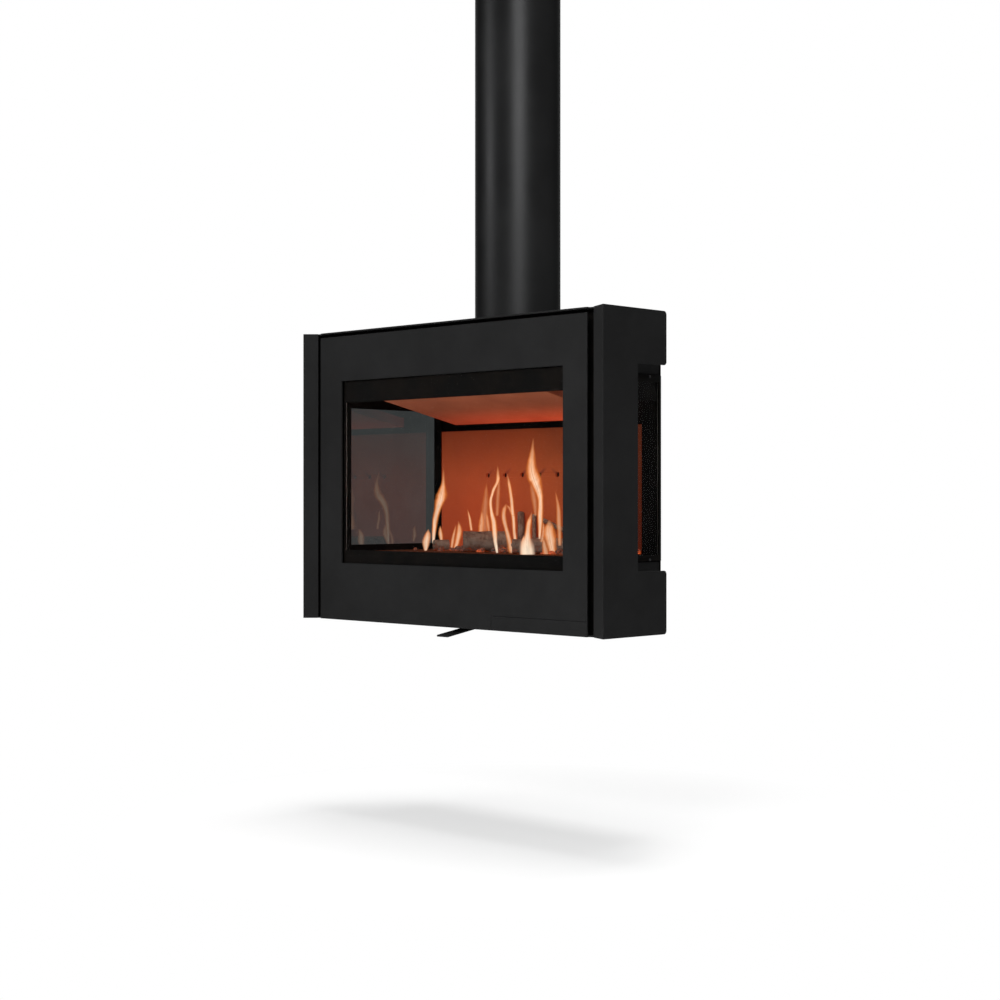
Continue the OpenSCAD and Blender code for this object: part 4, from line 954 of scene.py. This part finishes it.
def log_surface(points, seed):
    """A burnt log along the longest way of one CAD stem: its radius is the stem's inner radius
    times 0.93 plus broad waves and bark ridges. Each end is a rough face that sinks in towards
    its middle."""
    middle = points.mean(axis=0)
    way = np.linalg.svd(points - middle, full_matrices=False)[2][0]
    rise = (points - middle) @ way
    half = (rise.max() - rise.min()) / 2
    middle = middle + way * (rise.max() + rise.min()) / 2
    off = points - middle - ((points - middle) @ way)[:, None] * way
    radius = np.linalg.norm(off, axis=1).max() * math.cos(math.pi / STEM_SIDES)
    side = np.cross(way, (0, 0, 1.0))
    side /= np.linalg.norm(side)
    up = np.cross(side, way)
    up *= np.sign(up[2])
    rows, cols, rings = 64, 61, 9
    turn = np.linspace(0, 2 * math.pi, cols)
    s, a = np.meshgrid(np.linspace(-1, 1, rows) * half, turn, indexing="ij")
    outward = np.cos(a)[..., None] * side + np.sin(a)[..., None] * up
    broad = waves(seed, 5, 4, 14, s, np.cos(a) * 0.05, np.sin(a) * 0.05)
    ridge = waves(seed + 1, 7, 30, 80, s * 0.35, np.cos(a) * radius, np.sin(a) * radius)
    grow = 0.93 + 0.035 * broad + 0.035 * ridge
    # Waves and ridges are held down below, so that they don't enter what carries the log
    lowest = np.clip(-np.sin(a), 0, 1) ** 4
    grow = grow * (1 - lowest) + lowest * np.minimum(grow, 0.97)
    skin = middle + s[..., None] * way + (radius * grow)[..., None] * outward
    caps = []
    rng = np.random.default_rng(seed + 5)
    share = np.linspace(1, 0, rings)[:, None]
    for end, sign in ((0, -1), (-1, 1)):
        edge = (radius * grow[end])[None, :] * share
        sunk = (0.0025 * waves(seed + 9, 5, 40, 130, edge * np.cos(turn), edge * np.sin(turn))
                - 0.004 * rng.uniform(0.3, 1.0)) * (1 - share ** 3)
        caps.append(middle + (sign * (half + sunk))[..., None] * way
                    + edge[..., None] * outward[end])
    return [(skin, unit_uv(rows, cols))] + [(cap, unit_uv(rings, cols)) for cap in caps]


class FIREPLACE_OT_lay_logs(bpy.types.Operator):
    """Carves the charred logs where the CAD stems lie"""
    bl_idname = "fireplace.lay_logs"
    bl_label = "Lay logs"

    def execute(self, context):
        grids = []
        for number, points in enumerate(loose_solids("logs")):
            grids += log_surface(points, 40 + 7 * number)
        replace_node("logs", "charred_logs", grids, 50.0)
        return {"FINISHED"}


# Where lumps may lie on the hearth, across and in depth
EMBERS_ACROSS = (-0.285, 0.325)
EMBERS_DEEP = (-0.06, 0.045)


def lump_surface(place, size, squash, seed):
    """A charcoal lump: a ball grid whose radius carries a few random waves, stretched along each
    axis by squash and pressed flat below."""
    rows, cols = 8, 11
    p, q = np.meshgrid(np.linspace(-math.pi / 2, math.pi / 2, rows),
                       np.linspace(0, 2 * math.pi, cols), indexing="ij")
    ball = np.stack([np.cos(p) * np.cos(q), np.cos(p) * np.sin(q), np.sin(p)], -1)
    swell = 1 + 0.28 * waves(seed, 4, 0.2, 0.5, ball[..., 0], ball[..., 1], ball[..., 2])
    shape = ball * (size * np.clip(swell, 0.6, 1.45))[..., None] * squash
    shape[..., 2] = np.maximum(shape[..., 2], -size * 0.5)
    return place + shape, unit_uv(rows, cols)


class FIREPLACE_OT_spread_embers(bpy.types.Operator):
    """Spreads charcoal lumps over the hearth, thickest near its middle"""
    bl_idname = "fireplace.spread_embers"
    bl_label = "Spread embers"

    def execute(self, context):
        chamber = settings("chamber")
        rng = np.random.default_rng(11)
        count = chamber.ember_count
        across = np.clip(rng.normal(0.08, 0.18, count), *EMBERS_ACROSS)
        deep = np.clip(rng.normal(-0.01, 0.03, count), *EMBERS_DEEP)
        size = chamber.ember_size * rng.uniform(0.55, 1.5, count)
        places = np.stack([across, deep, HEARTH_TOP + size * 0.45], -1)
        grids = [lump_surface(places[number], size[number],
                              rng.uniform(0.75, 1.25, 3) * (1, 1, 0.8), 300 + number)
                 for number in range(count)]
        piece_from("ember_bed", grids, "stove", FINISHES["ember"])
        return {"FINISHED"}


# ---------------------------------------------------------------- flames

TONGUES = (
    # Depth, strength, then points from root to tip: across, height over the hearth, half width,
    # all lengths in millimetres
    (-40, 1, ((107, 30, 2), (109, 80, 6), (109, 120, 6), (102, 145, 9), (90, 170, 14),
              (82, 195, 11), (84, 225, 6), (87, 262, 1))),
    (-30, 0.4, ((85, 85, 3), (82, 115, 6), (75, 145, 5), (70, 160, 2))),
    (-7, 1, ((-278, 16, 2), (-275, 50, 5), (-267, 88, 7), (-256, 115, 10), (-249, 132, 12),
             (-243, 160, 5), (-242, 194, 1))),
    (-65, 0.9, ((-244, 0, 3), (-241, 20, 8), (-237, 36, 7), (-234, 52, 1))),
    (50, 0.8, ((-308, 18, 3), (-312, 38, 5), (-313, 58, 1))),
    (30, 0.8, ((-244, -6, 3), (-232, 22, 6), (-225, 48, 6), (-228, 70, 1))),
    (30, 0.65, ((-254, -4, 3), (-247, 30, 4), (-236, 62, 1))),
    (35, 0.75, ((-189, 48, 3), (-194, 75, 3), (-202, 99, 1))),
    (10, 0.35, ((-122, 46, 11), (-119, 90, 9), (-115, 130, 6), (-112, 164, 1))),
    (5, 0.6, ((-126, 46, 6), (-124, 74, 5), (-122, 96, 1))),
    (8, 0.5, ((-102, 46, 3), (-106, 70, 4), (-110, 93, 1))),
    (-10, 0.4, ((-58, 84, 4), (-54, 140, 4), (-50, 181, 1))),
    (-70, 1, ((2, -3, 2), (-4, 28, 4), (-9, 68, 6), (-17, 95, 4), (-19, 120, 3.5),
              (-10, 145, 3.5), (3, 165, 4), (4, 183, 3), (3, 200, 1))),
    (-55, 0.9, ((51, -3, 4), (43, 40, 4), (38, 85, 4), (32, 125, 4), (26, 158, 3.5),
                (20, 180, 1))),
    (-60, 0.75, ((40, 0, 7), (25, 45, 5), (13, 80, 5), (14, 98, 5), (21, 113, 2))),
    (-58, 0.55, ((41, 85, 3), (32, 101, 4), (21, 110, 2))),
    (-122, 1, ((148, 0, 14), (144, 22, 13), (147, 42, 7), (152, 72, 5), (160, 95, 1))),
    (-120, 0.9, ((133, 0, 7), (133, 25, 5), (134, 43, 1))),
    (-50, 0.55, ((178, 19, 4), (176, 65, 5), (173, 108, 4), (166, 139, 1))),
    (-60, 0.85, ((168, 0, 7), (159, 30, 12), (155, 52, 12), (156, 77, 2))),
    (-66, 0.6, ((137, 27, 3), (143, 50, 4), (143, 73, 1))),
    (-64, 0.6, ((150, 0, 7), (144, 20, 5), (140, 37, 1))),
)
# Unit way across the sheets in plan; the second sheet of each tongue stands square to it
ACROSS = (0.7145, 0.6997)
# A sheet is this much wider than its bright part, and fades over the rest
WIDEN = 1.4
# Lamps of the fire: across and depth in metres, and share of the set power
FIRE_LAMPS = ((-0.17, -0.06, 0.6), (0.0, -0.05, 0.8), (0.15, -0.05, 1.6))
FIRE_LAMP_HEIGHT = 0.13
FIRE_LAMP_RADIUS = 0.045


def smooth_line(knots, count):
    """A cubic curve through knots[n, k] at even steps: on each stretch it is the Hermite curve
    whose end slopes are half the way between the neighbouring knots."""
    knots = np.asarray(knots, float)
    slope = np.gradient(knots, axis=0)
    t = np.linspace(0, len(knots) - 1, count)
    i = np.minimum(t.astype(int), len(knots) - 2)
    f = (t - i)[:, None]
    return ((2 * f ** 3 - 3 * f ** 2 + 1) * knots[i] + (f ** 3 - 2 * f ** 2 + f) * slope[i]
            + (3 * f ** 2 - 2 * f ** 3) * knots[i + 1] + (f ** 3 - f ** 2) * slope[i + 1])


def tongue_surfaces(row, seed):
    """One flame tongue: two crossed sheets on a smooth middle line. A sheet's half width follows
    the line's knots, the middle line sways in depth, and each sheet is slightly bowed."""
    depth, _, knots = row
    rows, cols = 44, 9
    line = smooth_line(knots, rows)
    across, height, half = line[:, 0:1], line[:, 1:2], WIDEN * np.maximum(line[:, 2:3], 0.3)
    v = np.linspace(0, 1, rows)[:, None]
    u = np.linspace(-1, 1, cols)[None, :]
    rng = np.random.default_rng(seed)
    sway = 0.05 * (height.max() - height.min()) * v * np.sin(
        2 * math.pi * v * 1.2 + rng.uniform(0, 2 * math.pi))
    middle = np.stack([across - ACROSS[1] * sway, depth + ACROSS[0] * sway, height], -1)
    sheets = []
    for way, out, thick in ((ACROSS, (-ACROSS[1], ACROSS[0]), 1.0),
                            ((-ACROSS[1], ACROSS[0]), (-ACROSS[0], -ACROSS[1]), 0.85)):
        side = (half * thick * u)[..., None]
        bow = (0.12 * half * thick * (1 - u ** 2))[..., None]
        place = (middle + side * (*way, 0) + bow * (*out, 0)) / 1000.0
        place[..., 2] += HEARTH_TOP
        sheets.append((place, np.stack(np.broadcast_arrays((u + 1) / 2, v), -1)))
    return sheets


class FIREPLACE_OT_light_flames(bpy.types.Operator):
    """Raises the flame tongues and the lamps of the fire's light"""
    bl_idname = "fireplace.light_flames"
    bl_label = "Light flames"

    def execute(self, context):
        fire = settings("fire")
        grids = [sheet for number, row in enumerate(TONGUES)
                 for sheet in tongue_surfaces(row, 70 + number)]
        flames = piece_from("flame_tongues", grids, "stove", FINISHES["flame"],
                            closed=False)
        # Every corner carries its tongue's strength, and all tongues have as many corners
        strength = np.array([row[1] for row in TONGUES], np.float32)
        tone = flames.data.attributes.new("tone", "FLOAT", "POINT")
        tone.data.foreach_set("value", np.repeat(strength, len(tone.data) // len(TONGUES)))
        # The lamps below stand for the flames' light, so the sheets cast neither light nor shade
        flames.visible_shadow = False
        flames.visible_diffuse = False
        FINISHES["flame"].cycles.emission_sampling = "NONE"
        for across, depth, share in FIRE_LAMPS:
            lamp = bpy.data.lights.new("fire_lamp", "POINT")
            lamp.energy = fire.fire_power * share
            lamp.color = fire.fire_colour
            lamp.shadow_soft_size = FIRE_LAMP_RADIUS
            holder = placed("fire_lamp", lamp, (across, depth, HEARTH_TOP + FIRE_LAMP_HEIGHT))
            holder.visible_glossy = False
            holder.visible_camera = False
            holder.visible_transmission = False
        return {"FINISHED"}


# ---------------------------------------------------------------- glass

class FIREPLACE_OT_set_panes(bpy.types.Operator):
    """Gives the right side pane, which faces the room, a clearer tint than the left one"""
    bl_idname = "fireplace.set_panes"
    bl_label = "Set panes"

    def execute(self, context):
        right = frame["nodes"]["right_side_glass"].data
        right.materials[0] = smoked_pane("clear_side_glass", hide=0.1,
                                         colour=(0.004, 0.003, 0.003, 1), grey=0.0, shine=0.1,
                                         gloss=1.5)
        return {"FINISHED"}


# ---------------------------------------------------------------- stage

FLOOR_RADIUS = 14.0


def soft_lamp(name, place, target, size, power):
    """A rectangular lamp of that size, turned to its target; the camera doesn't see it."""
    lamp = bpy.data.lights.new(name, "AREA")
    lamp.shape = "RECTANGLE"
    lamp.size, lamp.size_y = size
    lamp.energy = power
    holder = placed(name, lamp, place)
    holder.visible_camera = False
    way = Vector(target) - holder.location
    holder.rotation_euler = way.to_track_quat("-Z", "Y").to_euler()
    return holder


def seen_rays(nodes):
    """1 for rays of the camera, of reflections and through glass, and 0 for others."""
    camera, glossy, through = (nodes.level("LightPath", f"Is {kind} Ray", {})
                               for kind in ("Camera", "Glossy", "Transmission"))
    return camera.math("MAXIMUM", glossy, through)


def floor_finish():
    """White floor: it keeps part of the lit paint near the middle, so the shadow shows, and
    turns to plain white for the camera, for reflections and through glass further out."""
    finish = bpy.data.materials.new("pale_floor")
    nodes = Nodes(finish, "Material")
    seen = seen_rays(nodes)
    paint = nodes.add("BsdfDiffuse", {"Color": nodes.blend(seen, (0.9, 0.9, 0.9, 1),
                                                           (1.4, 1.4, 1.4, 1))})
    white = nodes.add("Emission", {"Color": (1, 1, 1, 1), "Strength": 1.0})
    flat = nodes.add("VectorMath", {0: nodes.place, 1: (1.0, 1.0, 0.0)}, operation="MULTIPLY")
    far = nodes.length(flat.outputs["Vector"])
    mix = nodes.add("MixShader", {0: seen * far.span(0.42, 0.95, 0.32, 1.0),
                                  1: paint.outputs[0], 2: white.outputs[0]})
    nodes.feed(nodes.end, {"Surface": mix.outputs[0]})
    return finish


def room_light(strength):
    """White world for the camera, for reflections and through glass; an even grey light else."""
    world = bpy.data.worlds.new("pale_room")
    bpy.context.scene.world = world
    nodes = Nodes(world, "World")
    level = seen_rays(nodes).span(0.0, 1.0, strength, 1.0)
    white = nodes.add("Background", {"Color": (1, 1, 1, 1), "Strength": level})
    nodes.feed(nodes.end, {"Surface": white.outputs[0]})


class FIREPLACE_OT_set_stage(bpy.types.Operator):
    """Sets the camera, the pale floor, the room's light and the soft lamps"""
    bl_idname = "fireplace.set_stage"
    bl_label = "Set stage"

    def execute(self, context):
        stage = settings("setting")
        scene = context.scene
        eye = bpy.data.cameras.new("room_camera")
        eye.lens = stage.lens
        eye.sensor_width = 36.0
        eye.clip_end = 100.0
        scene.camera = placed("room_camera", eye, stage.camera_place)
        scene.camera.rotation_euler = (math.radians(90), 0, stage.camera_turn)
        scene.view_settings.view_transform = "Standard"
        ground = -BODY_DROP - stage.floor_drop
        rows, cols = 7, 65
        radius = np.linspace(0, FLOOR_RADIUS, rows)[:, None]
        turn = np.linspace(0, 2 * math.pi, cols)
        place = np.stack(np.broadcast_arrays(radius * np.cos(turn), radius * np.sin(turn),
                                             ground), -1)
        floor = placed("floor", mesh_from("floor", [(place, unit_uv(rows, cols))]))
        floor.data.materials.append(floor_finish())
        room_light(stage.daylight)
        # The first two lamps don't show in reflections, and the sheens show only there
        body, pipe = (0, 0, -1.1), (0, 0, -0.5)
        for lamp in (soft_lamp("front_lamp", (1.7, -3.6, 0.2), body, (1.3, 1.6), 105),
                     soft_lamp("floor_bounce", (-0.1, -0.95, ground + 0.01), (-0.1, -0.2, -1.4),
                               (1.4, 0.5), 2.2)):
            lamp.visible_glossy = False
        for lamp in (soft_lamp("right_sheen", (2.9, -2.75, 0.65), pipe, (1.8, 0.6), 150),
                     soft_lamp("left_sheen", (-2.3, -3.2, 0.35), pipe, (1.3, 0.35), 52)):
            lamp.visible_diffuse = False
        soft_lamp("top_lamp", (0.0, 0.38, 2.6), (0, 0, -1.5), (1.2, 2.2), 76)
        return {"FINISHED"}


# ---------------------------------------------------------------- panel and run

STEPS = (FIREPLACE_OT_set_stage, FIREPLACE_OT_mix_finishes, FIREPLACE_OT_soften_sheets,
         FIREPLACE_OT_soften_boards, FIREPLACE_OT_roll_pipe, FIREPLACE_OT_turn_screws,
         FIREPLACE_OT_lay_ropes, FIREPLACE_OT_lay_logs, FIREPLACE_OT_spread_embers,
         FIREPLACE_OT_light_flames, FIREPLACE_OT_set_panes)


class FIREPLACE_PT_dress(bpy.types.Panel):
    """Lists the settings and the steps that dress the fireplace"""
    bl_idname = "FIREPLACE_PT_dress"
    bl_label = "Fireplace"
    bl_space_type = "VIEW_3D"
    bl_region_type = "UI"
    bl_category = "Fireplace"

    def draw(self, context):
        for name, group in SETTINGS.items():
            box = self.layout.box()
            for prop in group.__annotations__:
                box.prop(settings(name), prop)
        for step in STEPS:
            self.layout.operator(step.bl_idname)


def register():
    for name, group in SETTINGS.items():
        bpy.utils.register_class(group)
        setattr(bpy.types.Scene, "fireplace_" + name, bpy.props.PointerProperty(type=group))
    for step in STEPS + (FIREPLACE_PT_dress,):
        bpy.utils.register_class(step)


def unregister():
    for step in reversed(STEPS + (FIREPLACE_PT_dress,)):
        bpy.utils.unregister_class(step)
    for name, group in reversed(SETTINGS.items()):
        delattr(bpy.types.Scene, "fireplace_" + name)
        bpy.utils.unregister_class(group)


def main():
    """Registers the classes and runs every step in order."""
    register()
    for step in STEPS:
        group, name = step.bl_idname.split(".")
        getattr(getattr(bpy.ops, group), name)()


if __name__ == "__main__":
    main()
